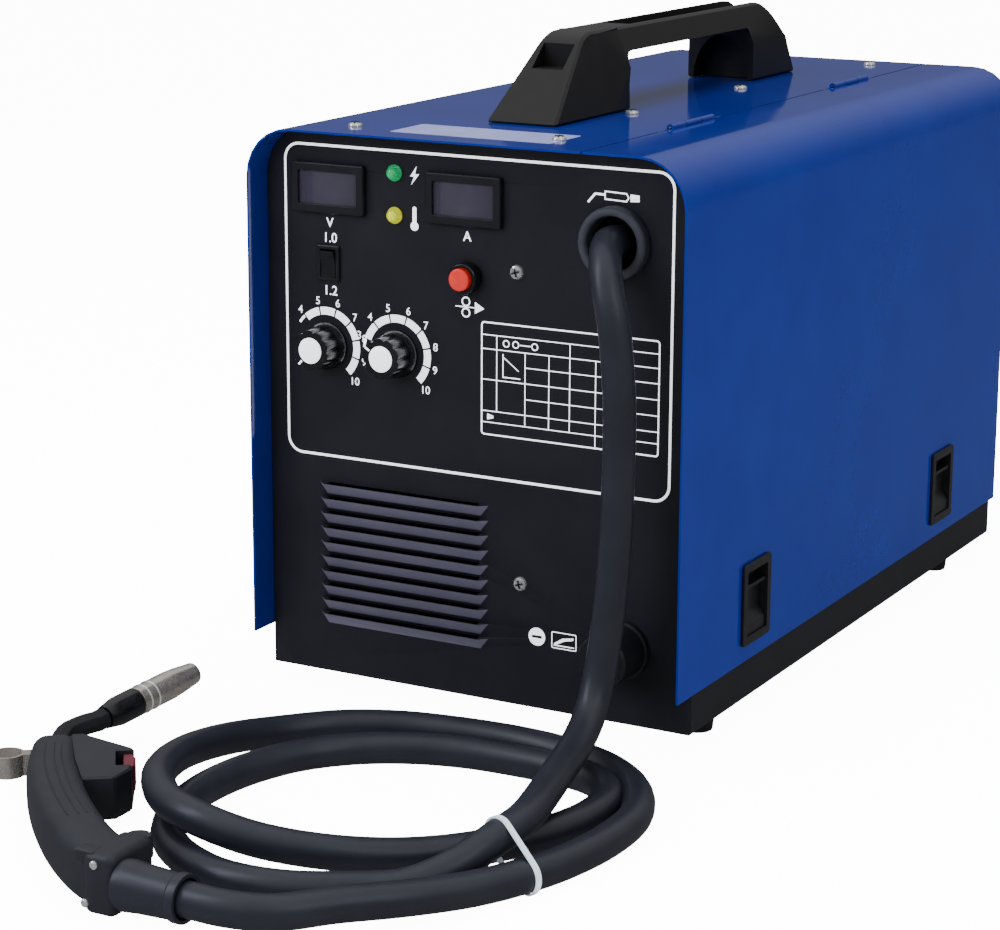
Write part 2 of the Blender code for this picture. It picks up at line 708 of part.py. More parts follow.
def make_knob(name, centre):
    x, z = centre
    outline = []
    for i in range(knob_scallops * 6):
        radius = knob_radius - scallop_depth * max(0, math.cos(math.pi * i / 3)) ** 2
        angle = math.pi * i / (knob_scallops * 3)
        outline.append((x + radius * math.cos(angle), z + radius * math.sin(angle)))
    body = softened(plate(name, outline, -knob_length, -0.0035), 0.0005, angle=60)
    profile = [(0, -0.0052), (knob_radius + 0.0004, -0.0052), (knob_skirt, -0.0022), (knob_skirt, -0.0006),
               (0.004, -0.0006), (knob_shaft, -0.0004), (knob_shaft, 0.006), (0, 0.006)]
    skirt = turned("skirt", profile, (x, 0, z), (x, 1, z), 28)
    finish(join(body, skirt), black_plastic, (x, 0, z))


def make_hose_grommet():
    x, z = grommet_centre
    middle, thick = (grommet_radius + grommet_opening) / 2, (grommet_radius - grommet_opening) / 2
    lip = [(middle + thick * math.cos(a), -0.0055 - 0.0027 * math.sin(a)) for a in (math.radians(30 * i) for i in range(7))]
    neck = grommet_opening + 0.002
    profile = lip + [(grommet_opening, 0.006), (neck, 0.006), (neck, -gap), (grommet_radius, -gap)]
    finish(turned("hose_grommet", profile, (x, 0, z), (x, 1, z), 28), rubber)


def make_earth_socket():
    x, z = socket_centre
    front = -socket_length
    profile = [(socket_bore, front), (socket_radius - 0.002, front), (socket_radius - 0.0005, front + 0.0015),
               (socket_radius, -0.004), (socket_radius + 0.0015, -0.0035), (socket_radius + 0.0015, -gap), (0.0085, -gap),
               (0.0085, 0.016), (0, 0.016), (0, front + 0.020), (socket_bore, front + 0.020)]
    body = turned("earth_socket", profile[-2:] + profile[:-2], (x, 0, z), (x, 1, z), 24)
    finish(body, black_plastic)


# ---- wire bay ----
def roll_z():
    return feed_z + drive_roll_radius + gap


def make_spool():
    y, z = spool_centre
    left, right = spool_left, spool_left + spool_width
    hub = [(0, bay_left + gap), (0.032, bay_left + gap), (0.032, left - gap - 0.001), (hub_radius, left - gap - 0.001),
           (hub_radius, right + 0.001), (0, right + 0.001)]
    finish(turned("spool_hub", hub, (0, y, z), (1, y, z), 24), grey_plastic)
    rim = 0.003
    reel = [(spool_bore, left), (spool_radius, left), (spool_radius, left + rim), (spool_drum, left + rim),
            (spool_drum, right - rim), (spool_radius, right - rim), (spool_radius, right), (spool_bore, right)]
    spool = finish(turned("wire_spool", reel, (0, y, z), (1, y, z), 36), black_plastic, ((left + right) / 2, y, z))
    inner = spool_drum + gap
    coil = [(inner, left + rim + gap), (wire_pack, left + rim + gap), (wire_pack, right - rim - gap), (inner, right - rim - gap)]
    child_of(spool, finish(turned("wire_coil", coil, (0, y, z), (1, y, z), 32), copper_wire))
    start = right + 0.0015
    nut_outline = [(y + r * math.cos(a), z + r * math.sin(a))
                   for r, a in ((0.034 if i % 4 < 2 else 0.026, math.radians(15 * i)) for i in range(24))]
    finish(plate("spool_nut", nut_outline, start, start + 0.010, "YZ"), grey_plastic)


def make_feeder():
    back, front = feed_x - 0.018, feed_x - 0.0085
    frame = box("feeder_frame", (back, 0.040, feed_z - 0.026), (front, 0.116, feed_z + 0.034))
    gearbox = box("gearbox", (bay_left + gap, 0.052, feed_z - 0.006), (back + 0.001, 0.098, feed_z + 0.033))
    nose = cylinder("nose", 0.0080, (feed_x, 0.0090, feed_z), (feed_x, 0.050, feed_z), 16)
    guide = cylinder("guide", 0.0045, (feed_x, 0.098, feed_z), (feed_x, 0.126, feed_z), 12)
    bridges = [box("bridge", (front - 0.001, low, feed_z - 0.006), (feed_x, high, feed_z + 0.006)) for low, high in ((0.041, 0.049), (0.1, 0.115))]
    pivot_z = feed_z - arm_drop
    pivot = cylinder("pivot", 0.003, (front - 0.001, arm_pivot_y, pivot_z), (arm_x + 0.0055, arm_pivot_y, pivot_z), 12)
    frame = join(frame, gearbox, nose, guide, *bridges, pivot)
    shaft = cylinder("shaft_hole", roll_shaft + 0.0006, (0, feed_y, roll_z()), (0.2, feed_y, roll_z()), 12)
    wire_way = cylinder("wire_way", 0.0012, (feed_x, -0.01, feed_z), (feed_x, 0.2, feed_z), 8)
    finish(cut(frame, shaft, wire_way), aluminium)

    motor = cylinder("feed_motor", 0.022, (-0.052, feed_y, roll_z()), (divider_x - gap, feed_y, roll_z()), 24)
    can = cylinder("cap", 0.012, (-0.060, feed_y, roll_z()), (-0.051, feed_y, roll_z()), 16)
    finish(join(motor, can), steel)

    low, high = feed_x - roll_width / 2, feed_x + roll_width / 2
    r = drive_roll_radius
    roll = [(0, divider_x + gap), (roll_shaft, divider_x + gap), (roll_shaft, low), (r, low), (r, feed_x - 0.0008), (r - 0.0006, feed_x),
            (r, feed_x + 0.0008), (r, high), (0.006, high), (0.006, high + 0.004), (0, high + 0.004)]
    finish(turned("drive_roll", roll, (0, feed_y, roll_z()), (1, feed_y, roll_z()), 24), steel, (feed_x, feed_y, roll_z()))

    arm = plate("pressure_arm", arc((arm_pivot_y, pivot_z), 0.008, -90, 90, 6) + arc((arm_tip_y, pivot_z), 0.008, 90, 270, 6),
                arm_x, arm_x + 0.005, "YZ")
    pressure_z = feed_z - gap - pressure_roll_radius
    axle = cylinder("axle", 0.003, (low + 0.001, feed_y, pressure_z), (arm_x + 0.001, feed_y, pressure_z), 12)
    eye = cylinder("eye", 0.0034, (0, arm_pivot_y, pivot_z), (0.2, arm_pivot_y, pivot_z), 12)
    knob_x = arm_x + 0.0025
    thread = cylinder("thread", 0.0021, (knob_x, arm_tip_y, feed_z - 0.060), (knob_x, arm_tip_y, pivot_z - 0.002), 10)
    arm = finish(cut(join(arm, axle), eye, thread), steel, (arm_x, arm_pivot_y, pivot_z))

    rp = pressure_roll_radius
    idle = [(0.0034, low + 0.0005), (rp, low + 0.0005), (rp, high - 0.0005), (0.0034, high - 0.0005)]
    child_of(arm, finish(turned("pressure_roll", idle, (0, feed_y, pressure_z), (1, feed_y, pressure_z), 20), steel,
                         (feed_x, feed_y, pressure_z)))
    under = pivot_z - 0.008 - gap
    outline = []
    for i in range(20):
        radius = 0.0075 if i % 2 else 0.0068
        outline.append((knob_x + radius * math.cos(math.pi * i / 10), arm_tip_y + radius * math.sin(math.pi * i / 10)))
    knob = plate("tension_knob", outline, under - 0.015, under, "XY")
    stem = cylinder("stem", 0.0017, (knob_x, arm_tip_y, under - 0.001), (knob_x, arm_tip_y, pivot_z - 0.003), 10)
    child_of(arm, finish(join(knob, stem), black_plastic, (knob_x, arm_tip_y, under)))


# ---- power side ----
def make_power_side():
    left = -inner_half + 0.009
    right = divider_x - 0.008
    board = box("main_board", (left, 0.090, 0.196), (right, chassis_length - 0.061, 0.1976))
    for index in range(3):
        y = 0.150 + index * 0.032
        board = join(board, cylinder("capacitor", 0.0125, (left + 0.022, y, 0.197), (left + 0.022, y, 0.236), 14))
    board = join(board, box("choke", (-0.060, 0.150, 0.197), (-0.020, 0.200, 0.228)),
                 box("relay", (-0.050, 0.240, 0.197), (-0.020, 0.275, 0.215)))
    finish(board, board_green)

    comb, fins, base = [], 9, 0.006
    width, top, bottom = 0.100, 0.186, 0.118
    start = -0.120
    pitch, fin = width / (fins - 0.6), 0.4 * width / (fins - 0.6)
    for index in range(fins):
        u = start + index * pitch
        comb += [(u, bottom), (u + fin, bottom)]
        if index < fins - 1:
            comb += [(u + fin, top - base), (u + pitch, top - base)]
    comb += [(start + (fins - 1) * pitch + fin, top), (start, top)]
    finish(plate("heatsink", comb, 0.130, 0.330), aluminium)

    floor = chassis_sheet + gap
    core = box("reactor", (-0.100, 0.150, floor), (-0.030, 0.215, 0.072))
    finish(join(core, box("winding", (-0.088, 0.138, floor + 0.014), (-0.042, 0.227, 0.060))), steel)

    panel = box("control_board", (-0.120, 0.026, 0.150), (0.008, 0.0276, 0.312))
    for x, z in knob_centres:
        panel = join(panel, cylinder("pot", 0.008, (x, 0.0075, z), (x, 0.0265, z), 14))
    finish(panel, board_green)


def make_fan():
    x, z = fan_centre
    back = chassis_length - chassis_sheet - gap
    front = back - fan_depth
    half = fan_size / 2
    shroud = plate("fan_shroud", rounded(fan_centre, (fan_size, fan_size), 0.006, 2), front, back)
    shroud = cut(shroud, cylinder("throat", fan_radius + 0.002, (x, front - 0.01, z), (x, back + 0.01, z), 28))
    struts = [box("strut", (x - half + 0.002, front, z - 0.002), (x + half - 0.002, front + 0.002, z + 0.002)),
              box("strut", (x - 0.002, front, z - half + 0.002), (x + 0.002, front + 0.002, z + half - 0.002))]
    disc = cylinder("mount", 0.017, (x, front, z), (x, front + 0.002, z), 20)
    finish(join(shroud, join(disc, *struts)), black_plastic)
    rotor = cylinder("fan_rotor", 0.018, (x, front + 0.003, z), (x, back - 0.003, z), 20)
    blades = []
    for index in range(6):
        blade = box("blade", (0.015, -0.008, -0.0008), (fan_radius - 0.002, 0.008, 0.0008))
        turn = Matrix.Rotation(math.radians(60 * index), 4, "Y") @ Matrix.Rotation(math.radians(35), 4, "X")
        blade.data.transform(Matrix.Translation((x, (front + back) / 2 + 0.0005, z)) @ turn)
        blades.append(blade)
    finish(join(rotor, grouped(blades)), black_plastic, (x, (front + back) / 2, z))


def make_rear_fittings():
    back = chassis_length
    make_rocker("power_switch_frame", "power_rocker", power_switch_centre, power_switch_size, back, 1)
    x, z = gland_centre
    profile = [(0.0050, -0.012), (0.0080, -0.012), (0.0080, gap), (0.0125, gap), (0.0125, 0.007), (0.0105, 0.0085),
               (0.0105, 0.016), (0.0075, 0.021), (0.0050, 0.021)]
    finish(turned("mains_gland", profile, (x, back, z), (x, back + 1, z), 20), black_plastic)
    x, z = gas_inlet_centre
    barbs = [point for i in range(3) for point in ((0.0046, 0.012 + i * 0.006), (0.0038, 0.0175 + i * 0.006))]
    profile = [(0.0020, -0.010), (0.0050, -0.010), (0.0050, gap), (0.0080, gap), (0.0080, 0.008), (0.0036, 0.0085)] + barbs
    finish(turned("gas_inlet", profile + [(0.0020, 0.0300)], (x, back, z), (x, back + 1, z), 16), brass)


# ---- torch ----
torch_start = Vector((-0.1550, -0.1890, torch_z))     # where measures along the torch start
torch_along = Vector((0.589, -0.808, 0)).normalized()
torch_inward = Vector((0.808, 0.589, 0)).normalized()
torch_line = ((-0.1420, -0.2068), (-0.1280, -0.2270), (-0.1120, -0.2480), (-0.0860, -0.2760), (-0.0570, -0.3020),
              (-0.0320, -0.3200), (-0.0120, -0.3290))
head_line = ((-0.1426, -0.2060, 0.0), (-0.1505, -0.1930, 0.0), (-0.1560, -0.1810, 0.0005), (-0.1568, -0.1745, 0.0012),
             (-0.1535, -0.1650, 0.0025), (-0.1503, -0.1595, 0.0030), (-0.1497, -0.1537, 0.0034))
head_along = Vector((0.09, 0.99, 0.07)).normalized()


def torch_point(s, n, height=0.0):
    """A place on the torch: s along the handle from its head end, n towards its trigger side."""
    return torch_start + torch_along * s + torch_inward * n + Vector((0, 0, height))


def torch_plate(name, outline, low, high):
    return plate(name, [tuple(torch_point(s, n))[:2] for s, n in outline], torch_z + low, torch_z + high, "XY")


def grip_shell(name, extra=0.0):
    """The handle's grip, or with extra all round it the room that it takes in the trigger's housing."""
    line = smooth_line([(x, y, torch_z) for x, y in torch_line], 0.014)
    last = len(line) - 1
    rings = []
    for index, centre in enumerate(line):
        tangent = (line[min(index + 1, last)] - line[max(index - 1, 0)]).normalized()
        side = Vector((-tangent.y, tangent.x, 0))
        place = index / last * (len(grip_sizes) - 1)
        first = min(int(place), len(grip_sizes) - 2)
        size = Vector(grip_sizes[first]).lerp(Vector(grip_sizes[first + 1]), place - first)
        if index == 0:
            size *= nose_share
        width, height = size.x / 2 + extra, size.y / 2 + extra
        ring = []
        for step in range(14):
            angle = 2 * math.pi * (step + 0.5) / 14
            c, s = math.cos(angle), math.sin(angle)
            u, v = math.copysign(abs(c) ** 0.62, c), math.copysign(abs(s) ** 0.62, s)
            ring.append(centre + side * (width * u) + Vector((0, 0, height * v)))
        rings.append(ring)
    return loft(name, rings)


def make_torch_handle():
    low, high = floor_z + 0.0005, torch_z + grip_sizes[-1][1] / 2
    clamp = softened(box("clamp", (-0.022, -0.344, low), (-0.0033, -0.309, high)), 0.004, 2)
    lug = cylinder("lug", 0.007, (-0.012, -0.3105, high - 0.012), (-0.012, -0.3105, high - 0.001), 16)
    finish(join(grip_shell("torch_handle"), clamp, lug), black_plastic)


def make_trigger():
    half = trigger_housing_height / 2
    outline = [(0.023, 0.0080), (0.023, 0.0153), (0.049, 0.0420), (0.080, 0.0405), (0.092, 0.0320), (0.092, 0.0080)]
    housing = torch_plate("trigger_housing", outline, -half, half)
    slot = torch_plate("slot", [(0.0530, 0.0260), (0.0530, 0.060), (0.0757, 0.060), (0.0757, 0.0260)], -0.0046, 0.0046)
    window = torch_plate("window", [(0.0534, 0.0322), (0.0534, 0.061), (0.0753, 0.061), (0.0753, 0.0322)], 0.001, half + gap)
    finish(cut(softened(housing, 0.0012), slot, window, grip_shell("room", 2 * gap)), black_plastic)
    lever = [(0.0545, 0.0300), (0.0545, 0.0412), (0.0600, 0.0428), (0.0715, 0.0424), (0.0735, 0.0405), (0.0735, 0.0300)]
    thumb = [(0.0545, 0.0362), (0.0545, 0.0412), (0.0600, 0.0428), (0.0715, 0.0424), (0.0735, 0.0405), (0.0735, 0.0362)]
    trigger = join(torch_plate("torch_trigger", lever, -0.0042, 0.0042), torch_plate("thumb", thumb, 0, half - 0.0015))
    finish(softened(trigger, 0.0006), maroon_plastic, torch_point(0.0560, 0.0340))


def make_torch_head():
    line = smooth_line([(x, y, torch_z + h) for x, y, h in head_line], 0.006)
    finish(baked(tube("torch_neck", line, 0.0062, 2)), black_plastic)
    start = line[-1] + head_along * 0.0008
    length = insulator_length
    collar = [(0, 0), (0.0066, 0), (0.0084, 0.010), (0.0084, length - 0.001), (0.0076, length), (0, length)]
    finish(turned("torch_insulator", collar, start, start + head_along, 20), black_plastic)
    start = start + head_along * (length + gap)
    wall, tip, depth = 0.0013, nozzle_tip, 0.030
    profile = [(0, 0), (nozzle_base, 0), (nozzle_base, 0.028), (nozzle_base - 0.0005, 0.036),
               (tip + 0.0006, nozzle_length - 0.006), (tip, nozzle_length), (tip - wall, nozzle_length),
               (tip - wall, nozzle_length - depth), (0, nozzle_length - depth)]
    finish(turned("torch_nozzle", profile, start, start + head_along, 24), nickel)


def make_torch_fittings():
    start, end = Vector((-0.0030, -0.3352, torch_z)), Vector((0.0340, -0.3360, torch_z))
    length = (end - start).length
    bore = hose_diameter / 2 + 0.0012
    profile = [(0, 0), (0.0125, 0), (0.0130, 0.004), (0.0122, 0.012), (0.0114, length - 0.006), (0.0124, length - 0.005),
               (0.0124, length), (bore, length), (bore, 0.010), (0, 0.010)]
    finish(turned("torch_boot", profile, start, end, 24), rubber)
    centre, radius, sheet = (0.033, -0.0252), 0.0092, 0.0014
    outline = arc(centre, radius, -35, 235, 14) + arc(centre, radius - sheet, 235, -35, 14)
    hook = torch_plate("torch_hook", outline, -0.006, 0.006)
    tab = torch_plate("tab", [(0.0290, -0.0172), (0.0370, -0.0172), (0.0370, -0.0080), (0.0290, -0.0080)], -0.006, 0.006)
    finish(cut(join(hook, tab), grip_shell("room", gap)), nickel)


def make_hose():
    points = smooth_line([(x / 1000, y / 1000, z / 1000) for x, y, z in hose_route], hose_point_step)
    finish(tube("torch_hose", points, hose_diameter / 2, 3), rubber)


def main():
    make_base_tray()
    make_front_panel()
    make_rear_panel()
    make_top_cover()
    door = make_side_door()
    make_hinge_pins()
    for place, y in zip(("front", "rear"), latch_y):
        make_latch(place, y, door)
    make_divider()
    make_feet()
    make_handle()
    for place, centre in zip(("volts", "amps"), meter_centres):
        make_meter(place, centre)
    make_lamp("lamp_power", lamp_z[0], green_lens)
    make_lamp("lamp_overheat", lamp_z[1], yellow_lens)
    make_rocker("rocker_frame", "wire_rocker", rocker_centre, rocker_size, 0, -1)
    make_jog_button()
    for name, centre in zip(("current_knob", "voltage_knob"), knob_centres):
        make_knob(name, centre)
    make_hose_grommet()
    make_earth_socket()
    make_spool()
    make_feeder()
    make_power_side()
    make_fan()
    make_rear_fittings()
    make_torch_handle()
    make_trigger()
    make_torch_head()
    make_torch_fittings()
    make_hose()

    # The footprint of the case and the torch, without the hose, lies round the origin.
    bpy.context.view_layer.update()
    corners = [
        obj.matrix_world @ Vector(corner)
        for obj in parts.objects if obj.name != "torch_hose"
        for corner in obj.bound_box
    ]
    welder = bpy.data.objects.new("welder", None)
    parts.objects.link(welder)
    welder.location = (
        -(min(c.x for c in corners) + max(c.x for c in corners)) / 2,
        -(min(c.y for c in corners) + max(c.y for c in corners)) / 2,
        foot_height,
    )
    for obj in list(parts.objects):
        if obj.parent is None and obj is not welder:
            obj.parent = welder


main()
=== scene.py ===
import json
import math

import bmesh
import bpy
from mathutils import Matrix, Vector

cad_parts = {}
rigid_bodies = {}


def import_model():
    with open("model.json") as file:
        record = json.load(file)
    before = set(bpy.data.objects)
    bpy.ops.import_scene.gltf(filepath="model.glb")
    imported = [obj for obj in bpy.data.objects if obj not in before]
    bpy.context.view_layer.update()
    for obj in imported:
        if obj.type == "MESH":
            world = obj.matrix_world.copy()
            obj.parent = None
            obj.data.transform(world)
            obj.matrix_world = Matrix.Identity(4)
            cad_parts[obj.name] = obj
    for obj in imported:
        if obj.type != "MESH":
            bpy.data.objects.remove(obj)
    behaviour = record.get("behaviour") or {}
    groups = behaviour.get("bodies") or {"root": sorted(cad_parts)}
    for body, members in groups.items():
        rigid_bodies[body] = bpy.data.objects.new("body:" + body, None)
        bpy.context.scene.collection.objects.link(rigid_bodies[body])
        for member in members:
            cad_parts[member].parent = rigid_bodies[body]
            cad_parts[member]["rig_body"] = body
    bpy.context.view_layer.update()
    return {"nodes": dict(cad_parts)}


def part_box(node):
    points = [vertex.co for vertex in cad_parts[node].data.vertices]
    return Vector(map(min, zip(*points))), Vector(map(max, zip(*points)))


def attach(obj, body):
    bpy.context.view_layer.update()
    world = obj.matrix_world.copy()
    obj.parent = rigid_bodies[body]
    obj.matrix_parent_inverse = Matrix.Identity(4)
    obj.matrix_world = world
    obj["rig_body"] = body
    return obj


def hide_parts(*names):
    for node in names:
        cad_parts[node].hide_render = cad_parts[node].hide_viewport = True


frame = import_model()

# Case coordinates: X right seen from the front, Y back from the front panel's face, Z up from the tray.
caseShape = {"panelHalfWidth": 0.13685, "length": 0.491, "floor": -0.012}
caseOrigin = Vector((
    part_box("front_panel")[0].x + caseShape["panelHalfWidth"],
    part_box("rear_panel")[1].y - caseShape["length"],
    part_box("base_tray")[0].z,
))
floorZ = caseShape["floor"]
sharpAngle = math.radians(32)  # edges turned further than this stay sharp, or take a small bevel


# Shapes.
def meshPiece(name, bm, smooth=True):
    bmesh.ops.recalc_face_normals(bm, faces=bm.faces)
    mesh = bpy.data.meshes.new(name)
    bm.to_mesh(mesh)
    bm.free()
    if smooth:
        mesh.shade_smooth()
        mesh.set_sharp_from_angle(angle=sharpAngle)
    obj = bpy.data.objects.new(name, mesh)
    bpy.context.scene.collection.objects.link(obj)
    return obj


def along(start, direction):
    turn = Vector((0, 0, 1)).rotation_difference(Vector(direction)).to_matrix().to_4x4()
    return Matrix.Translation(Vector(start)) @ turn


def lathe(name, profile, start, direction, steps=40, smooth=True):
    bm = bmesh.new()
    place = along(start, direction)
    rows = []
    for radius, height in profile:
        ring = []
        for step in range(1 if radius == 0 else steps):
            angle = 2 * math.pi * step / steps
            spot = Vector((radius * math.cos(angle), radius * math.sin(angle), height))
            ring.append(bm.verts.new(place @ spot))
        rows.append(ring)
    for a, b in zip(rows, rows[1:]):
        for step in range(steps):
            corners = [a[step % len(a)], a[(step + 1) % len(a)], b[(step + 1) % len(b)], b[step % len(b)]]
            unique = list(dict.fromkeys(corners))
            if len(unique) > 2:
                bm.faces.new(unique)
    return meshPiece(name, bm, smooth)


def loft(name, rings):
    bm = bmesh.new()
    rows = [[bm.verts.new(point) for point in ring] for ring in rings]
    for a, b in zip(rows, rows[1:]):
        for i in range(len(a)):
            j = (i + 1) % len(a)
            bm.faces.new((a[i], a[j], b[j], b[i]))
    bm.faces.new(rows[0])
    bm.faces.new(rows[-1])
    return meshPiece(name, bm)


def flatFaces(name, outlines, toWorld, thickness=0.0):
    curve = bpy.data.curves.new(name, "CURVE")
    curve.dimensions = "2D"
    curve.fill_mode = "BOTH"
    curve.extrude = thickness / 2
    for outline in outlines:
        line = curve.splines.new("POLY")
        line.points.add(len(outline) - 1)
        for point, (u, v) in zip(line.points, outline):
            point.co = (u, v, 0, 1)
        line.use_cyclic_u = True
    return realised(name, curve, toWorld)


def realised(name, data, toWorld):
    source = bpy.data.objects.new(name, data)
    bpy.context.scene.collection.objects.link(source)
    source.matrix_world = toWorld
    bpy.context.view_layer.update()
    mesh = bpy.data.meshes.new_from_object(source.evaluated_get(bpy.context.evaluated_depsgraph_get()))
    mesh.transform(toWorld)
    bpy.data.objects.remove(source)
    obj = bpy.data.objects.new(name, mesh)
    bpy.context.scene.collection.objects.link(obj)
    return obj


def arcPoints(centre, radius, first, last, steps=8):
    angles = [math.radians(first + (last - first) * i / steps) for i in range(steps + 1)]
    return [(centre[0] + radius * math.cos(a), centre[1] + radius * math.sin(a)) for a in angles]


def roundedBox(low, high, radius, steps=8):
    (x0, y0), (x1, y1) = low, high
    return (arcPoints((x1 - radius, y1 - radius), radius, 0, 90, steps)
            + arcPoints((x0 + radius, y1 - radius), radius, 90, 180, steps)
            + arcPoints((x0 + radius, y0 + radius), radius, 180, 270, steps)
            + arcPoints((x1 - radius, y0 + radius), radius, 270, 360, steps))


def smoothLine(points, step):
    # A smooth curve through the points, cut into equal steps. It gives the points and the curve's length.
    fineSteps = 24
    points = [Vector(p) for p in points]
    ends = [2 * points[0] - points[1]] + points + [2 * points[-1] - points[-2]]
    fine = []
    for a, b, c, d in zip(ends, ends[1:], ends[2:], ends[3:]):
        for i in range(fineSteps):
            t = i / fineSteps
            fine.append(0.5 * (2 * b + (c - a) * t + (2 * a - 5 * b + 4 * c - d) * t * t
                               + (3 * b - a - 3 * c + d) * t ** 3))
    fine.append(points[-1])
    lengths = [0.0]
    for a, b in zip(fine, fine[1:]):
        lengths.append(lengths[-1] + (b - a).length)
    count = max(2, round(lengths[-1] / step))
    line, at = [], 0
    for i in range(count + 1):
        wanted = lengths[-1] * i / count
        while at < len(fine) - 2 and lengths[at + 1] < wanted:
            at += 1
        line.append(fine[at].lerp(fine[at + 1], (wanted - lengths[at]) / (lengths[at + 1] - lengths[at])))
    return line, lengths[-1]


def joined(name, objects):
    bm = bmesh.new()
    for obj in objects:
        bm.from_mesh(obj.data)
        bpy.data.objects.remove(obj)
    mesh = bpy.data.meshes.new(name)
    bm.to_mesh(mesh)
    bm.free()
    made = bpy.data.objects.new(name, mesh)
    bpy.context.scene.collection.objects.link(made)
    return made


def put(obj, look, body="case", stands=()):
    # Shifts a piece made in case coordinates into the frame, and gives it its material and its body.
    obj.matrix_world = Matrix.Translation(caseOrigin) @ obj.matrix_world
    obj.data.materials.clear()
    obj.data.materials.append(look)
    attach(obj, body)
    if stands:
        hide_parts(*stands)
    return obj


# Materials.
def colour(code):
    parts = [int(code[i:i + 2], 16) / 255 for i in (1, 3, 5)]
    return (*[c / 12.92 if c <= 0.04045 else ((c + 0.055) / 1.055) ** 2.4 for c in parts], 1.0)


def addNode(tree, kind, settings=(), links=()):
    made = tree.nodes.new(kind)
    for key, value in dict(settings).items():
        if isinstance(key, int) or key in made.inputs:
            made.inputs[key].default_value = value
        else:
            setattr(made, key, value)
    for key, socket in dict(links).items():
        tree.links.new(socket, made.inputs[key])
    return made.outputs


def surface(name, look):
    # A tone that drifts between two colours, a roughness that drifts with it, and a grain of real size.
    made = bpy.data.materials.new(name)
    made.use_nodes = True
    tree = made.node_tree
    shader = tree.nodes["Principled BSDF"]
    for key, value in look.get("shader", {}).items():
        shader.inputs[key].default_value = value
    place = addNode(tree, "ShaderNodeTexCoord")["Object"]
    if "stretch" in look:
        place = addNode(tree, "ShaderNodeMapping", {"Scale": look["stretch"]}, {"Vector": place})["Vector"]
    broad = {"Scale": 1000 / look["driftMm"], "Detail": 4.0, "Roughness": 0.6}
    drift = addNode(tree, "ShaderNodeTexNoise", broad, {"Vector": place})["Fac"]
    sharp = addNode(tree, "ShaderNodeMapRange", {"From Min": 0.3, "From Max": 0.7}, {"Value": drift})["Result"]
    tones = look["tones"]
    mixed = {"data_type": "RGBA", 6: colour(tones[0]), 7: colour(tones[1])}
    tone = addNode(tree, "ShaderNodeMix", mixed, {0: sharp})[2]
    tree.links.new(tone, shader.inputs["Base Color"])
    low, high = look["rough"]
    rough = addNode(tree, "ShaderNodeMapRange", {"To Min": low, "To Max": high}, {"Value": drift})["Result"]
    tree.links.new(rough, shader.inputs["Roughness"])
    grain = addNode(tree, "ShaderNodeTexNoise", {"Scale": 1000 / look["grainMm"], "Detail": 3.0},
                    {"Vector": place})["Fac"]
    relief = {"Strength": look.get("bump", 0.3), "Distance": look["reliefMm"] / 1000}
    bump = addNode(tree, "ShaderNodeBump", relief, {"Height": grain})["Normal"]
    tree.links.new(bump, shader.inputs["Normal"])
    return made


# Gloss powder coat on sheet steel: saturated blue, with a faint orange peel that softens what it mirrors.
blueCoat = surface("powder_coated_steel_blue", {
    "tones": ("#041e6e", "#052476"), "driftMm": 60, "rough": (0.08, 0.12), "grainMm": 1.6, "reliefMm": 0.012,
    "bump": 0.15, "shader": {"Coat Weight": 0.08, "Coat Roughness": 0.08, "Specular IOR Level": 0.36},
})
# Satin powder coat on the chassis sheet: near black, with a fine texture that dulls the highlights.
blackCoat = surface("powder_coated_steel_black", {
    "tones": ("#17171b", "#1b1b20"), "driftMm": 40, "rough": (0.42, 0.52), "grainMm": 0.7, "reliefMm": 0.03,
    "bump": 0.35, "shader": {"Specular IOR Level": 0.25},
})
# The same coat on the louvres' pressed faces, painted a paler grey: a painted reflection of the pale floor they
# look down at.
louvrePaintedReflection = surface("powder_coat_louvre_painted_reflection", {
    "tones": ("#494754", "#504d5b"), "driftMm": 25, "rough": (0.42, 0.52), "grainMm": 0.7, "reliefMm": 0.03,
    "bump": 0.35, "shader": {"Specular IOR Level": 0.25},
})
# Moulded ABS with a spark-eroded grain: deep black, with a soft light along its edges.
handlePlastic = surface("moulded_abs_handle", {
    "tones": ("#100f0f", "#151413"), "driftMm": 25, "rough": (0.40, 0.50), "grainMm": 0.5, "reliefMm": 0.02,
    "bump": 0.3, "shader": {"Specular IOR Level": 0.35},
})
# Moulded ABS, satin: smoother than the handle, with a slightly brighter edge.
blackPlastic = surface("moulded_abs_satin", {
    "tones": ("#121214", "#18181b"), "driftMm": 12, "rough": (0.30, 0.40), "grainMm": 0.4, "reliefMm": 0.01,
    "shader": {"Specular IOR Level": 0.4},
})
# Moulded phenolic: knobs and rockers with a small sharp highlight.
glossPlastic = surface("moulded_phenolic_gloss", {
    "tones": ("#0d0d0f", "#131316"), "driftMm": 10, "rough": (0.16, 0.24), "grainMm": 0.6, "reliefMm": 0.006,
    "shader": {"Specular IOR Level": 0.5},
})
# Moulded glass-filled nylon: matt dark grey with a fine grain.
gripPlastic = surface("moulded_nylon_grip", {
    "tones": ("#191a1e", "#1f2026"), "driftMm": 18, "rough": (0.42, 0.54), "grainMm": 0.5, "reliefMm": 0.02,
    "bump": 0.3, "shader": {"Specular IOR Level": 0.4},
})
# Extruded rubber: dark grey, with one long soft highlight along each run.
hoseRubber = surface("extruded_rubber_hose", {
    "tones": ("#191a21", "#1f2027"), "driftMm": 30, "rough": (0.34, 0.42), "grainMm": 1.2, "reliefMm": 0.02,
    "bump": 0.3, "shader": {"Specular IOR Level": 0.45},
})
# Moulded rubber: dull black with almost no highlight.
softRubber = surface("moulded_rubber", {
    "tones": ("#0f0f11", "#17171a"), "driftMm": 12, "rough": (0.45, 0.6), "grainMm": 0.6, "reliefMm": 0.02,
    "shader": {"Specular IOR Level": 0.3},
})
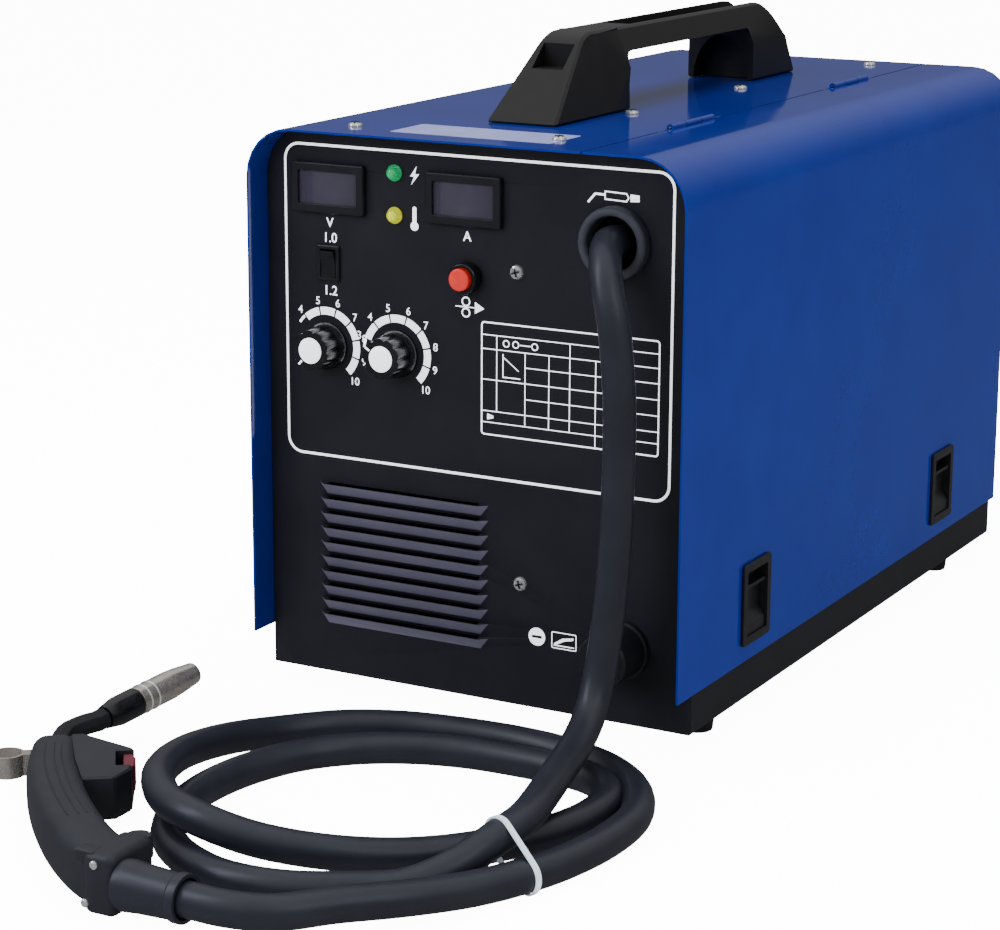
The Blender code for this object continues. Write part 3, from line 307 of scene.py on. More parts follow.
# The grommet's rubber: a paler grey than the feet, as dull.
grommetRubber = surface("moulded_rubber_grommet", {
    "tones": ("#2e2f35", "#36373d"), "driftMm": 12, "rough": (0.45, 0.6), "grainMm": 0.6, "reliefMm": 0.02,
    "shader": {"Specular IOR Level": 0.3},
})
# Screen-printed ink: matt bright white, with a painted glow, a little light of its own that keeps thin lines
# clear.
whiteInkPaintedGlow = surface("screen_printed_ink_painted_glow", {
    "tones": ("#e9ebef", "#f4f5f7"), "driftMm": 8, "rough": (0.45, 0.55), "grainMm": 0.4, "reliefMm": 0.004,
    "shader": {"Emission Color": (1, 1, 1, 1), "Emission Strength": 0.9},
})
# Painted shade: near-black blocks in slots and recesses, so that they read as holes.
slotPaintedShade = surface("painted_slot_shade", {
    "tones": ("#17181c", "#1d1e23"), "driftMm": 8, "rough": (0.5, 0.6), "grainMm": 0.4, "reliefMm": 0.004,
})
# Printed polyester film: pale lilac grey with a slight sheen.
labelFilm = surface("printed_label_film", {
    "tones": ("#8287b2", "#8d92bc"), "driftMm": 14, "rough": (0.25, 0.35), "grainMm": 2.0, "reliefMm": 0.01,
})
# Natural nylon, moulded: milky white that lets a little light in.
whiteNylon = surface("moulded_nylon_natural", {
    "tones": ("#dfe9ef", "#eef4f7"), "driftMm": 6, "rough": (0.3, 0.4), "grainMm": 0.8, "reliefMm": 0.01,
    "shader": {"Subsurface Weight": 0.1, "Subsurface Radius": (0.002, 0.002, 0.002)},
})
# Chrome-plated steel: screw heads that sparkle against the paint.
chrome = surface("chrome_plated_steel", {
    "tones": ("#dededb", "#e8e8e5"), "driftMm": 4, "rough": (0.12, 0.22), "grainMm": 0.8, "reliefMm": 0.01,
    "shader": {"Metallic": 0.85},
})
# Turned nickel plate: warm grey metal whose fine grain spreads the highlights.
nickel = surface("turned_nickel_plate", {
    "tones": ("#c2bab0", "#d2cac0"), "driftMm": 7, "rough": (0.20, 0.34), "grainMm": 0.25, "reliefMm": 0.012,
    "shader": {"Metallic": 0.88},
})
# Polished nickel, drawn pale and part matt as a painted highlight: the nozzle's two bright lines.
nozzleLinePaintedHighlight = surface("polished_nickel_painted_highlight", {
    "tones": ("#eceae6", "#f5f4f1"), "driftMm": 5, "rough": (0.15, 0.25), "grainMm": 0.5, "reliefMm": 0.004,
    "shader": {"Metallic": 0.6},
})
# Machined steel: cool grey metal with a fine grain.
steel = surface("machined_steel", {
    "tones": ("#8b8d90", "#9b9da0"), "driftMm": 10, "rough": (0.28, 0.4), "grainMm": 0.4, "reliefMm": 0.01,
    "shader": {"Metallic": 1.0},
})
# Zinc-plated sheet: grey metal with a broad cloudy drift.
zinc = surface("zinc_plated_sheet", {
    "tones": ("#8d9093", "#a4a7aa"), "driftMm": 22, "rough": (0.35, 0.5), "grainMm": 3.0, "reliefMm": 0.01,
    "shader": {"Metallic": 1.0},
})
# Extruded aluminium: pale metal with a soft sheen.
aluminium = surface("extruded_aluminium", {
    "tones": ("#b4b6b8", "#c3c5c7"), "driftMm": 12, "rough": (0.3, 0.42), "grainMm": 0.5, "reliefMm": 0.012,
    "shader": {"Metallic": 1.0},
})
# Turned brass: warm yellow metal.
brass = surface("turned_brass", {
    "tones": ("#b08d45", "#c29d52"), "driftMm": 6, "rough": (0.25, 0.35), "grainMm": 0.4, "reliefMm": 0.01,
    "shader": {"Metallic": 1.0},
})
# Copper-coated wire: orange metal. Its turns are drawn a little coarser than the wire, so that they show.
copper = surface("copper_coated_wire", {
    "tones": ("#b8683f", "#cf7d50"), "driftMm": 5, "rough": (0.25, 0.35), "grainMm": 1.0, "reliefMm": 0.15,
    "bump": 0.8, "stretch": (1.0, 0.04, 0.04), "shader": {"Metallic": 1.0},
})
# Solder mask on a circuit board: even, half-gloss green.
boardGreen = surface("soldermask_board", {
    "tones": ("#0d4a26", "#11562d"), "driftMm": 9, "rough": (0.3, 0.4), "grainMm": 1.2, "reliefMm": 0.03,
})
# Moulded nylon: satin mid grey.
greyPlastic = surface("moulded_nylon_grey", {
    "tones": ("#3d3e41", "#48494c"), "driftMm": 12, "rough": (0.4, 0.5), "grainMm": 0.5, "reliefMm": 0.01,
})
# Moulded ABS, red: bright and satin, the one warm spot of the panel.
redButton = surface("moulded_abs_red", {
    "tones": ("#c02318", "#cd2c1e"), "driftMm": 5, "rough": (0.28, 0.36), "grainMm": 0.4, "reliefMm": 0.008,
})
# Moulded nylon, maroon: a dark satin red.
maroonPlastic = surface("moulded_nylon_maroon", {
    "tones": ("#4f1620", "#5e1b26"), "driftMm": 5, "rough": (0.35, 0.45), "grainMm": 0.4, "reliefMm": 0.008,
})
# Smoked acrylic: a dark grey lilac under a clear gloss.
smokedWindow = surface("smoked_acrylic", {
    "tones": ("#2f2b35", "#36323c"), "driftMm": 20, "rough": (0.12, 0.18), "grainMm": 6.0, "reliefMm": 0.004,
    "shader": {"Coat Weight": 0.5, "Coat Roughness": 0.05},
})
# Moulded lens, green: a clear gloss cap that glows faintly.
greenLens = surface("moulded_lens_green", {
    "tones": ("#0c8a4c", "#12a35c"), "driftMm": 3, "rough": (0.10, 0.16), "grainMm": 1.2, "reliefMm": 0.08,
    "shader": {"Emission Color": colour("#15c070"), "Emission Strength": 0.12, "Coat Weight": 0.6},
})
# Moulded lens, yellow: the same gloss and glow.
yellowLens = surface("moulded_lens_yellow", {
    "tones": ("#b9bd16", "#cfd224"), "driftMm": 3, "rough": (0.10, 0.16), "grainMm": 1.2, "reliefMm": 0.08,
    "shader": {"Emission Color": colour("#e4e83a"), "Emission Strength": 0.15, "Coat Weight": 0.6},
})
print("stage: materials")

# Camera.
viewShape = {
    "lensMm": 102.06, "sensorMm": 36, "azimuth": 28.827, "elevation": 14.091, "roll": 0.24,
    "place": (0.7627, -1.3561, 0.5286), "farEnd": 50,
}
azimuth, elevation = math.radians(viewShape["azimuth"]), math.radians(viewShape["elevation"])
roll = math.radians(viewShape["roll"])
away = math.cos(elevation)
back = Vector((math.sin(azimuth) * away, -math.cos(azimuth) * away, math.sin(elevation)))
right = Vector((math.cos(azimuth), math.sin(azimuth), 0))
up = back.cross(right)
rolledRight = right * math.cos(roll) + up * math.sin(roll)
rolledUp = up * math.cos(roll) - right * math.sin(roll)
camera = bpy.data.objects.new("camera", bpy.data.cameras.new("camera"))
bpy.context.scene.collection.objects.link(camera)
camera.matrix_world = Matrix.Translation(caseOrigin + Vector(viewShape["place"])) @ Matrix((
    rolledRight, rolledUp, back)).transposed().to_4x4()
camera.data.lens = viewShape["lensMm"]
camera.data.sensor_width = viewShape["sensorMm"]
camera.data.clip_end = viewShape["farEnd"]
bpy.context.scene.camera = camera

# Torch hose, as one smooth line through its route in millimetres.
hoseShape = {
    "diameter": 0.018, "stepM": 0.006,
    "routeMm": (
        (87.6, 5, 272.6), (89.8, -14, 274.3), (96, -30, 265.5), (102.5, -38, 250), (107.5, -41, 233.5),
        (112, -43, 196.5), (113, -45, 160), (113, -47, 125), (112, -49.5, 93.5), (110.4, -54, 61),
        (109, -60, 40), (110, -72, 26), (114, -95, 18.5), (121, -125, 17), (130, -160, 17),
        (135.5, -190, 15.5), (131.5, -214, 11.5), (122, -236, 3.5), (106, -256, -3), (84, -273, -3),
        (56, -287, -3), (25, -290, -3), (-4, -280.5, -3), (-28, -263, -3), (-44, -239, -3),
        (-52.5, -212, -3), (-54.5, -184, -3), (-50, -154, -3), (-38, -125, -3), (-18, -102, -3),
        (8, -86, -3), (38, -77, -3), (72, -74.5, -3), (102, -76, -3), (124, -84, -3), (138, -103, -3),
        (141, -128, -3), (135, -156, -3), (121, -183, -3), (102, -208, -3), (80, -231, -1),
        (55, -253, 4), (27, -268, 10), (-3, -272, 16.2), (-30, -261, 17.3), (-53, -237, 16.8),
        (-69, -206, 13), (-79, -170, 7.5), (-79, -132, 2), (-67, -97, -2.5), (-44, -72, -3),
        (-14, -57, -3), (20, -50, -3), (55, -47.5, -3), (90, -51.5, -3), (122, -64, -3), (147, -87, -3),
        (162, -119, -3), (164.5, -153, -3), (160, -186, -3), (150.5, -216, -2.8), (137, -247, -1.5),
        (118, -277, 0.8), (96, -303, 2.5), (78, -325.5, 3.3), (57, -335.2, 4.2), (30, -335.9, 4.5),
        (8, -335.4, 4.5),
    ),
}
hosePoints, hoseLength = smoothLine([[c / 1000 for c in p] for p in hoseShape["routeMm"]], hoseShape["stepM"])
hoseCurve = bpy.data.curves.new("torchHose", "CURVE")
hoseCurve.dimensions = "3D"
hoseCurve.bevel_depth = hoseShape["diameter"] / 2
hoseCurve.bevel_resolution = 8
hoseCurve.use_fill_caps = True
hoseLine = hoseCurve.splines.new("POLY")
hoseLine.points.add(len(hosePoints) - 1)
for spot, point in zip(hoseLine.points, hosePoints):
    spot.co = (*point, 1)
hoseLine.use_smooth = True
torchHose = bpy.data.objects.new("torchHose", hoseCurve)
bpy.context.scene.collection.objects.link(torchHose)
put(torchHose, hoseRubber, stands=("torch_hose",))
print("stage: hose", round(hoseLength, 3))


# Pieces that show their own CAD shape, with the edges softened.
edgeShape = {"weldM": 0.00001, "segments": 2, "flatFaceWeight": 80}
louvreReflectionFaces = {"faceDown": -0.3, "proud": 0.0004}


def dress(look, width, *names):
    for name in names:
        obj = frame["nodes"][name]
        obj.data.materials.clear()
        obj.data.materials.append(look)
        for polygon in obj.data.polygons:
            polygon.material_index = 0
        obj.data.shade_smooth()
        weld = obj.modifiers.new("weld", "WELD")
        weld.merge_threshold = edgeShape["weldM"]
        if width:
            bevel = obj.modifiers.new("edges", "BEVEL")
            bevel.width = width
            bevel.segments = edgeShape["segments"]
            bevel.limit_method = "ANGLE"
            bevel.angle_limit = sharpAngle
            bevel.use_clamp_overlap = True
        weighted = obj.modifiers.new("normals", "WEIGHTED_NORMAL")
        weighted.mode = "FACE_AREA_WITH_ANGLE"
        weighted.weight = edgeShape["flatFaceWeight"]


dress(blueCoat, 0.0003, "top_cover", "side_door")
dress(blackCoat, 0.0, "front_panel")
dress(blackCoat, 0.0003, "rear_panel", "base_tray")
panelMesh = frame["nodes"]["front_panel"].data
# Faces of the louvres that look down take the paler coat, a painted reflection of the floor.
panelMesh.materials.append(louvrePaintedReflection)
for polygon in panelMesh.polygons:
    if polygon.normal.z < louvreReflectionFaces["faceDown"] and polygon.center.y < caseOrigin.y - louvreReflectionFaces["proud"]:
        polygon.material_index = 1
dress(handlePlastic, 0.0006, "carry_handle")
dress(blackPlastic, 0.0004, "meter_bezel_volts", "meter_bezel_amps", "latch_frame_front", "latch_frame_rear",
      "latch_slide_front", "latch_slide_rear", "rocker_frame", "power_switch_frame", "fan_shroud", "wire_spool",
      "mains_gland", "earth_socket", "tension_knob")
dress(glossPlastic, 0.0003, "current_knob", "voltage_knob", "wire_rocker", "power_rocker", "button_collar",
      "torch_insulator", "fan_rotor")
dress(gripPlastic, 0.0008, "torch_handle", "trigger_housing")
dress(softRubber, 0.0004, "foot_front_left", "foot_front_right", "foot_rear_left", "foot_rear_right",
      "torch_neck")
dress(grommetRubber, 0.0004, "hose_grommet")
dress(hoseRubber, 0.0004, "torch_boot")
dress(smokedWindow, 0.0, "meter_window_volts", "meter_window_amps")
dress(greenLens, 0.0, "lamp_power")
dress(yellowLens, 0.0, "lamp_overheat")
dress(redButton, 0.0004, "jog_button")
dress(maroonPlastic, 0.0004, "torch_trigger")
dress(nickel, 0.0002, "torch_nozzle", "torch_hook")
dress(steel, 0.0002, "hinge_pin_front", "hinge_pin_rear", "drive_roll", "pressure_roll", "pressure_arm",
      "feed_motor", "reactor")
dress(zinc, 0.0003, "divider")
dress(aluminium, 0.0003, "feeder_frame", "heatsink")
dress(brass, 0.0002, "gas_inlet")
dress(copper, 0.0, "wire_coil")
dress(boardGreen, 0.0, "main_board", "control_board")
dress(greyPlastic, 0.0004, "spool_hub", "spool_nut")
print("stage: dressed CAD pieces")

# Printing on the front panel.
def facingFront(y):
    # A plane that faces forward at this depth: u is X and v is Z.
    return Matrix(((1, 0, 0, 0), (0, 0, -1, y), (0, 1, 0, 0), (0, 0, 0, 1)))


inkThick = 0.00006
panelPlane = facingFront(-inkThick)


def bandArc(centre, outer, inner, first, last, steps):
    return arcPoints(centre, outer, first, last, steps) + arcPoints(centre, inner, last, first, steps)


def stroke(start, end, width):
    a, b = Vector(start), Vector(end)
    side = Vector((-(b - a).y, (b - a).x)).normalized() * width / 2
    return [tuple(a + side), tuple(b + side), tuple(b - side), tuple(a - side)]


def disc(centre, radius, steps=24):
    return arcPoints(centre, radius, 0, 360 * (steps - 1) / steps, steps - 1)


def boxLine(low, high, corner, width, innerCorner, steps=4):
    # A rounded rectangle drawn as a line of this width.
    inner = roundedBox([c + width for c in low], [c - width for c in high], innerCorner, steps)
    return [roundedBox(low, high, corner, steps), inner]


def lettering(text, centre, size, bold):
    font = bpy.data.curves.new("text", "FONT")
    font.body = text
    font.size = size
    font.align_x = "CENTER"
    font.align_y = "CENTER"
    font.offset = bold
    return realised("text", font, panelPlane @ Matrix.Translation((centre[0], centre[1], 0)))


panelPrint = {
    "low": (-0.1255, 0.131), "high": (0.1225, 0.3135), "corner": 0.010, "line": 0.0015,
    "letters": (("V", (-0.095, 0.2685)), ("A", (-0.005, 0.268)), ("1.0", (-0.095, 0.2598)),
                ("1.2", (-0.095, 0.2292))),
    "letterSize": 0.0078, "letterBold": 0.00008,
}
panelOutline = boxLine(panelPrint["low"], panelPrint["high"], panelPrint["corner"], panelPrint["line"],
                       panelPrint["corner"] - panelPrint["line"], 8)
ink = [flatFaces("outline", panelOutline, panelPlane)]
for text, centre in panelPrint["letters"]:
    ink.append(lettering(text, centre, panelPrint["letterSize"], panelPrint["letterBold"]))

# Each dial's band runs clockwise from the lower left to the lower right, cut by a gap at each number.
dialPrint = {
    "centres": ((-0.098, 0.197), (-0.051, 0.197)), "firstNumbers": (4, 3), "lastNumber": 10,
    "outer": 0.0225, "inner": 0.0180, "lastAt": -46, "numberStep": 29.7, "halfGap": 1.4,
    "startLong": 14, "startThick": 0.0016, "startGap": 0.8,
    "numbersAt": 0.0262, "lastFurther": 0.0008, "numberSize": 0.0064, "numberBold": 0.00005,
}


def printDial(centre, firstNumber):
    made = []
    for number in range(firstNumber, dialPrint["lastNumber"] + 1):
        angle = dialPrint["lastAt"] + (dialPrint["lastNumber"] - number) * dialPrint["numberStep"]
        isLast = number == dialPrint["lastNumber"]
        reach = dialPrint["numbersAt"] + (dialPrint["lastFurther"] if isLast else 0)
        turn = math.radians(angle)
        place = (centre[0] + reach * math.cos(turn), centre[1] + reach * math.sin(turn))
        made.append(lettering(str(number), place, dialPrint["numberSize"], dialPrint["numberBold"]))
        if number == firstNumber:
            thin = bandArc(centre, dialPrint["outer"], dialPrint["outer"] - dialPrint["startThick"],
                           angle + dialPrint["startLong"], angle + dialPrint["startGap"], 6)
            made.append(flatFaces("bandStart", [thin], panelPlane))
        if not isLast:
            thick = bandArc(centre, dialPrint["outer"], dialPrint["inner"], angle - dialPrint["halfGap"],
                            angle - dialPrint["numberStep"] + dialPrint["halfGap"], 10)
            made.append(flatFaces("band", [thick], panelPlane))
    return made


for centre, firstNumber in zip(dialPrint["centres"], dialPrint["firstNumbers"]):
    ink += printDial(centre, firstNumber)

symbols = {
    # Beside the lamps: power and heat.
    "bolt": [[(-0.0375, 0.3052), (-0.0418, 0.2990), (-0.0392, 0.2992), (-0.0412, 0.2942), (-0.0358, 0.3008),
              (-0.0386, 0.3005)]],
    "thermometerBulb": [disc((-0.039, 0.2712), 0.0026)],
    "thermometerTube": [roundedBox((-0.0403, 0.2730), (-0.0377, 0.2822), 0.0012, 4)],
    # Wire feed: two rolls with the wire running between them to an arrow.
    "upperRoll": [disc((-0.0058, 0.2315), 0.0028), disc((-0.0058, 0.2315), 0.0020)],
    "lowerRoll": [disc((-0.0058, 0.2252), 0.0028), disc((-0.0058, 0.2252), 0.0020)],
    "wire": [stroke((-0.0125, 0.2284), (0.0000, 0.2284), 0.0006)],
    "arrow": [[(0.0000, 0.2318), (0.0060, 0.2284), (0.0000, 0.2250)]],
    # The torch above the grommet.
    "torchBody": [
        [(0.0800, 0.3005), (0.0935, 0.3000), (0.0950, 0.2975), (0.0935, 0.2950), (0.0800, 0.2955)],
        [(0.0807, 0.2997), (0.0930, 0.2992), (0.0941, 0.2975), (0.0930, 0.2958), (0.0807, 0.2963)],
    ],
    "torchCap": [[(0.0955, 0.2995), (0.1010, 0.2992), (0.1010, 0.2957), (0.0955, 0.2954)]],
    "torchNeckLow": [stroke((0.0700, 0.2935), (0.0745, 0.2985), 0.0012)],
    "torchNeckHigh": [stroke((0.0743, 0.2984), (0.0805, 0.2982), 0.0012)],
    # In the rating table: a source, two coils, a characteristic curve and a plug.
    "source": [disc((0.020, 0.2100), 0.0022, 16), disc((0.020, 0.2100), 0.0015, 16)],
    "coil": [disc((0.026, 0.2100), 0.0022, 16), disc((0.026, 0.2100), 0.0015, 16)],
    "secondCoil": [disc((0.038, 0.2100), 0.0022, 16), disc((0.038, 0.2100), 0.0015, 16)],
    "coilLead": [stroke((0.0285, 0.2100), (0.0355, 0.2100), 0.0006)],
    "curveUpright": [stroke((0.018, 0.1905), (0.018, 0.2040), 0.0007)],
    "curveBase": [stroke((0.018, 0.1908), (0.029, 0.1908), 0.0007)],
    "curve": [stroke((0.0185, 0.2020), (0.0280, 0.1950), 0.0006)],
    "plug": [[(0.0080, 0.1655), (0.0080, 0.1690), (0.0120, 0.1680), (0.0120, 0.1665)]],
    # By the earth socket: a minus sign and the clamp.
    "minusDisc": [disc((0.0407, 0.0427), 0.0053, 32),
                  roundedBox((0.0375, 0.0419), (0.0439, 0.0435), 0.0003, 2)],
    "clampFrame": boxLine((0.050, 0.0376), (0.066, 0.0475), 0.001, 0.0006, 0.0006),
    "clampJaw": [[(0.0515, 0.0405), (0.0570, 0.0440), (0.0640, 0.0452), (0.0640, 0.0438), (0.0580, 0.0424),
                  (0.0530, 0.0398)]],
    "clampBase": [stroke((0.0515, 0.0395), (0.0645, 0.0395), 0.0007)],
}
for name, outlines in symbols.items():
    ink.append(flatFaces(name, outlines, panelPlane))

tablePrint = {
    "low": (0.004, 0.1565), "high": (0.115, 0.2215), "corner": 0.002, "innerCorner": 0.0012,
    "frameLine": 0.0009, "line": 0.0006, "shortRowsFrom": 0.032,
    "rows": (0.2140, 0.2060, 0.1885, 0.1705, 0.1640), "shortRows": (0.1975, 0.1795),
    "columns": ((0.014, 0.1705, 0.2140), (0.032, 0.1640, 0.2060), (0.047, 0.1640, 0.2060),
                (0.060, 0.1640, 0.2140), (0.076, 0.1565, 0.2060), (0.096, 0.1565, 0.2140)),
}
tableLeft, tableRight = tablePrint["low"][0], tablePrint["high"][0]
tableLines = [((tableLeft, v), (tableRight, v)) for v in tablePrint["rows"]]
tableLines += [((tablePrint["shortRowsFrom"], v), (tableRight, v)) for v in tablePrint["shortRows"]]
tableLines += [((u, low), (u, high)) for u, low, high in tablePrint["columns"]]
ink.append(flatFaces("tableFrame", boxLine(tablePrint["low"], tablePrint["high"], tablePrint["corner"],
                                           tablePrint["frameLine"], tablePrint["innerCorner"]), panelPlane))
for start, end in tableLines:
    ink.append(flatFaces("tableLine", [stroke(start, end, tablePrint["line"])], panelPlane))
put(joined("panelPrint", ink), whiteInkPaintedGlow)
print("stage: panel print")

# Screws.
screwShape = {
    "radius": 0.0042, "panel": ((0.0266, 0.251), (0.030, 0.0724)), "coverTop": 0.3233,
    "cover": ((-0.084, 0.0107), (0.0433, 0.0166), (0.0256, 0.1426), (0.0272, 0.2943), (0.0452, 0.4688),
              (-0.084, 0.469)),
    "profile": ((1.0, 0.0), (1.0, 0.0006), (0.86, 0.0016), (0.5, 0.0022), (0, 0.0024)),
    "slotTurn": 0.3, "slotLong": 1.15, "slotWide": 0.24, "slotDeep": 0.0012, "slotAt": 0.0021,
}


def screwHead(start, direction):
    # The profile's radii and the slots' length and width are shares of the head's radius.
    radius = screwShape["radius"]
    profile = [(radius * share, height) for share, height in screwShape["profile"]]
    head = lathe("screw", profile, start, direction, 28)
    place = along(start, direction) @ Matrix.Translation((0, 0, screwShape["slotAt"]))
    slotLong, slotWide = radius * screwShape["slotLong"], radius * screwShape["slotWide"]
    size = Matrix.Diagonal((slotLong, slotWide, screwShape["slotDeep"], 1))
    cross = []
    for turn in (screwShape["slotTurn"], screwShape["slotTurn"] + math.pi / 2):
        bm = bmesh.new()
        bmesh.ops.create_cube(bm, size=1.0, matrix=place @ Matrix.Rotation(turn, 4, "Z") @ size)
        cross.append(meshPiece("slot", bm, False))
    return head, cross


screwPlaces = [((x, 0, z), (0, -1, 0)) for x, z in screwShape["panel"]]
screwPlaces += [((x, y, screwShape["coverTop"]), (0, 0, 1)) for x, y in screwShape["cover"]]
heads, slots = [], []
for start, direction in screwPlaces:
    head, cross = screwHead(start, direction)
    heads.append(head)
    slots += cross
put(joined("screwHeads", heads), chrome)
# The screw slots are near-black blocks of painted shade.
put(joined("screwSlots", slots), slotPaintedShade)
print("stage: screws")

# Label on the cover.
labelShape = {"low": (-0.0555, 0.000), "high": (0.0465, 0.038), "corner": 0.002, "z": 0.32337, "thick": 0.0001}
labelOutline = roundedBox(labelShape["low"], labelShape["high"], labelShape["corner"])
labelPlane = Matrix.Translation((0, 0, labelShape["z"]))
put(flatFaces("coverLabel", [labelOutline], labelPlane, labelShape["thick"]), labelFilm)

# Knob caps and pointers.
knobShape = {
    "front": -0.018, "radius": 0.0075, "flatRadius": 0.0068, "proud": 0.0006, "edge": 0.0002, "sunk": 0.001,
    "pointerFrom": 0.0085, "pointerTo": 0.0116, "pointerWide": 0.0012,
    "turned": {"current_knob": 228, "voltage_knob": 150},
}
for (name, angle), (x, z) in zip(knobShape["turned"].items(), dialPrint["centres"]):
    front, radius = knobShape["front"], knobShape["radius"]
    capProfile = [(0, front - knobShape["proud"]), (knobShape["flatRadius"], front - knobShape["proud"]),
                  (radius, front - knobShape["edge"]), (radius, front + knobShape["sunk"]),
                  (0, front + knobShape["sunk"])]
    body = frame["nodes"][name]["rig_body"]
    # The caps are drawn in the ink, so they carry its painted glow.
    put(lathe(name + "_cap", capProfile, (x, 0, z), (0, 1, 0), 40), whiteInkPaintedGlow, body)
    towards = Vector((math.cos(math.radians(angle)), math.sin(math.radians(angle))))
    centre = Vector((x, z))
    tick = stroke(centre + towards * knobShape["pointerFrom"], centre + towards * knobShape["pointerTo"],
                  knobShape["pointerWide"])
    put(flatFaces(name + "_pointer", [tick], facingFront(front - inkThick)), whiteInkPaintedGlow, body)
print("stage: knobs")

# Torch. Its handle is one smooth shell along a bent line, with a clamp and a screw lug at the hose's end.
gripShape = {
    "line": ((-0.1420, -0.2068), (-0.1280, -0.2270), (-0.1120, -0.2480), (-0.0860, -0.2760), (-0.0570, -0.3020),
             (-0.0320, -0.3200), (-0.0120, -0.3290)),
    "z": floorZ + 0.0165, "sizes": ((0.024, 0.027), (0.029, 0.031), (0.030, 0.032), (0.029, 0.032)),
    "around": 48, "stepM": 0.004, "noseShares": (0.80, 0.93, 0.985), "squareSides": 0.62, "squareTop": 0.55,
    "clampLow": (-0.022, -0.344, floorZ + 0.0005), "clampHigh": (-0.0033, -0.309, floorZ + 0.0325),
    "clampEdge": 0.0045, "lugAt": (-0.012, -0.3105, floorZ + 0.0205),
    "lug": ((0, 0), (0.007, 0), (0.007, 0.0095), (0.0062, 0.011), (0, 0.011)),
}
gripLine = smoothLine([(x, y, gripShape["z"]) for x, y in gripShape["line"]], gripShape["stepM"])[0]


def gripFrame(index):
    # The centre, the sideways direction and the width and height of the grip at one step along it.
    last = len(gripLine) - 1
    sizes = gripShape["sizes"]
    tangent = (gripLine[min(index + 1, last)] - gripLine[max(index - 1, 0)]).normalized()
    place = index / last * (len(sizes) - 1)
    first = min(int(place), len(sizes) - 2)
    size = Vector(sizes[first]).lerp(Vector(sizes[first + 1]), place - first)
    return gripLine[index], Vector((-tangent.y, tangent.x, 0)), size


def squared(value, power):
    return math.copysign(abs(value) ** power, value)


def gripRing(index):
    centre, side, size = gripFrame(index)
    if index < len(gripShape["noseShares"]):
        size = size * gripShape["noseShares"][index]
    points = []
    for step in range(gripShape["around"]):
        angle = 2 * math.pi * (step + 0.5) / gripShape["around"]
        across = size.x / 2 * squared(math.cos(angle), gripShape["squareSides"])
        height = size.y / 2 * squared(math.sin(angle), gripShape["squareTop"])
        points.append(centre + side * across + Vector((0, 0, height)))
    return points


def blockPiece(name, low, high, width, segments=3):
    bm = bmesh.new()
    low, high = Vector(low), Vector(high)
    bmesh.ops.create_cube(bm, size=1.0, matrix=Matrix.Translation((low + high) / 2)
                          @ Matrix.Diagonal((*(high - low), 1)))
    bmesh.ops.bevel(bm, geom=bm.edges[:], offset=width, segments=segments, profile=0.5, affect="EDGES")
    return meshPiece(name, bm)


grip = loft("gripShell", [gripRing(index) for index in range(len(gripLine))])
clamp = blockPiece("clamp", gripShape["clampLow"], gripShape["clampHigh"], gripShape["clampEdge"], 5)
lug = lathe("lug", gripShape["lug"], gripShape["lugAt"], (0, 0, 1))
put(joined("torchGrip", [grip, clamp, lug]), gripPlastic, stands=("torch_handle",))

# Raised lines along the top of the grip. Each runs at its own share of the half width.
ribShape = {"across": (-0.30, 0.06, 0.34, 0.62), "start": 5, "end": 12, "radius": 0.00045, "sunk": 0.0001}


def ribLine(share):
    # The angle at which the squared section has this share of its half width.
    angle = math.acos(squared(share, 1 / gripShape["squareSides"]))
    points = []
    for index in range(ribShape["start"], len(gripLine) - ribShape["end"]):
        centre, side, size = gripFrame(index)
        height = size.y / 2 * math.sin(angle) ** gripShape["squareTop"] - ribShape["sunk"]
        points.append(centre + side * (size.x / 2 * share) + Vector((0, 0, height)))
    return points


def rod(name, points, radius):
    curve = bpy.data.curves.new(name, "CURVE")
    curve.dimensions = "3D"
    curve.bevel_depth = radius
    curve.bevel_resolution = 2
    curve.use_fill_caps = True
    line = curve.splines.new("POLY")
    line.points.add(len(points) - 1)
    for spot, point in zip(line.points, points):
        spot.co = (*point, 1)
    return realised(name, curve, Matrix.Identity(4))


ribs = [rod("rib", ribLine(share), ribShape["radius"]) for share in ribShape["across"]]
put(joined("gripRibs", ribs), gripPlastic)

# The clamp's slot, drawn as a near-black block of painted shade, and the screws that hold the two halves of the
# grip.
slotShape = {
    "low": (-0.0270, -0.3425, floorZ + 0.0265), "high": (-0.0155, -0.3335, floorZ + 0.0327), "edge": 0.001,
}
put(blockPiece("gripSlot", slotShape["low"], slotShape["high"], slotShape["edge"]), slotPaintedShade)
gripScrewShape = {
    "places": ((-0.0140, -0.3438, 0.0150), (-0.0200, -0.3438, -0.0055)),
    "profile": ((0.0022, 0), (0.0022, 0.0008), (0.0014, 0.0013), (0, 0.0013)),
}
put(joined("gripScrews", [lathe("screw", gripScrewShape["profile"], place, (0, -1, 0), 20)
                          for place in gripScrewShape["places"]]), chrome)

# Two turned rings on the nozzle, made bright with a painted highlight, and the contact tip inside its mouth.
nozzleShape = {
    "neckEnd": (-0.1497, -0.1537, floorZ + 0.0199), "along": (0.09, 0.99, 0.07), "afterNeck": 0.0266,
    "base": 0.0084, "ringAt": (0.0050, 0.0115), "ringWide": 0.0009, "ringSunk": 0.0002, "ringProud": 0.00022,
    "ringEdge": 0.0001,
    "tip": ((0.0006, 0.047), (0.0022, 0.047), (0.0028, 0.045), (0.0028, 0.0205), (0.0006, 0.0205)),
}
headAlong = Vector(nozzleShape["along"]).normalized()
nozzleStart = Vector(nozzleShape["neckEnd"]) + headAlong * nozzleShape["afterNeck"]


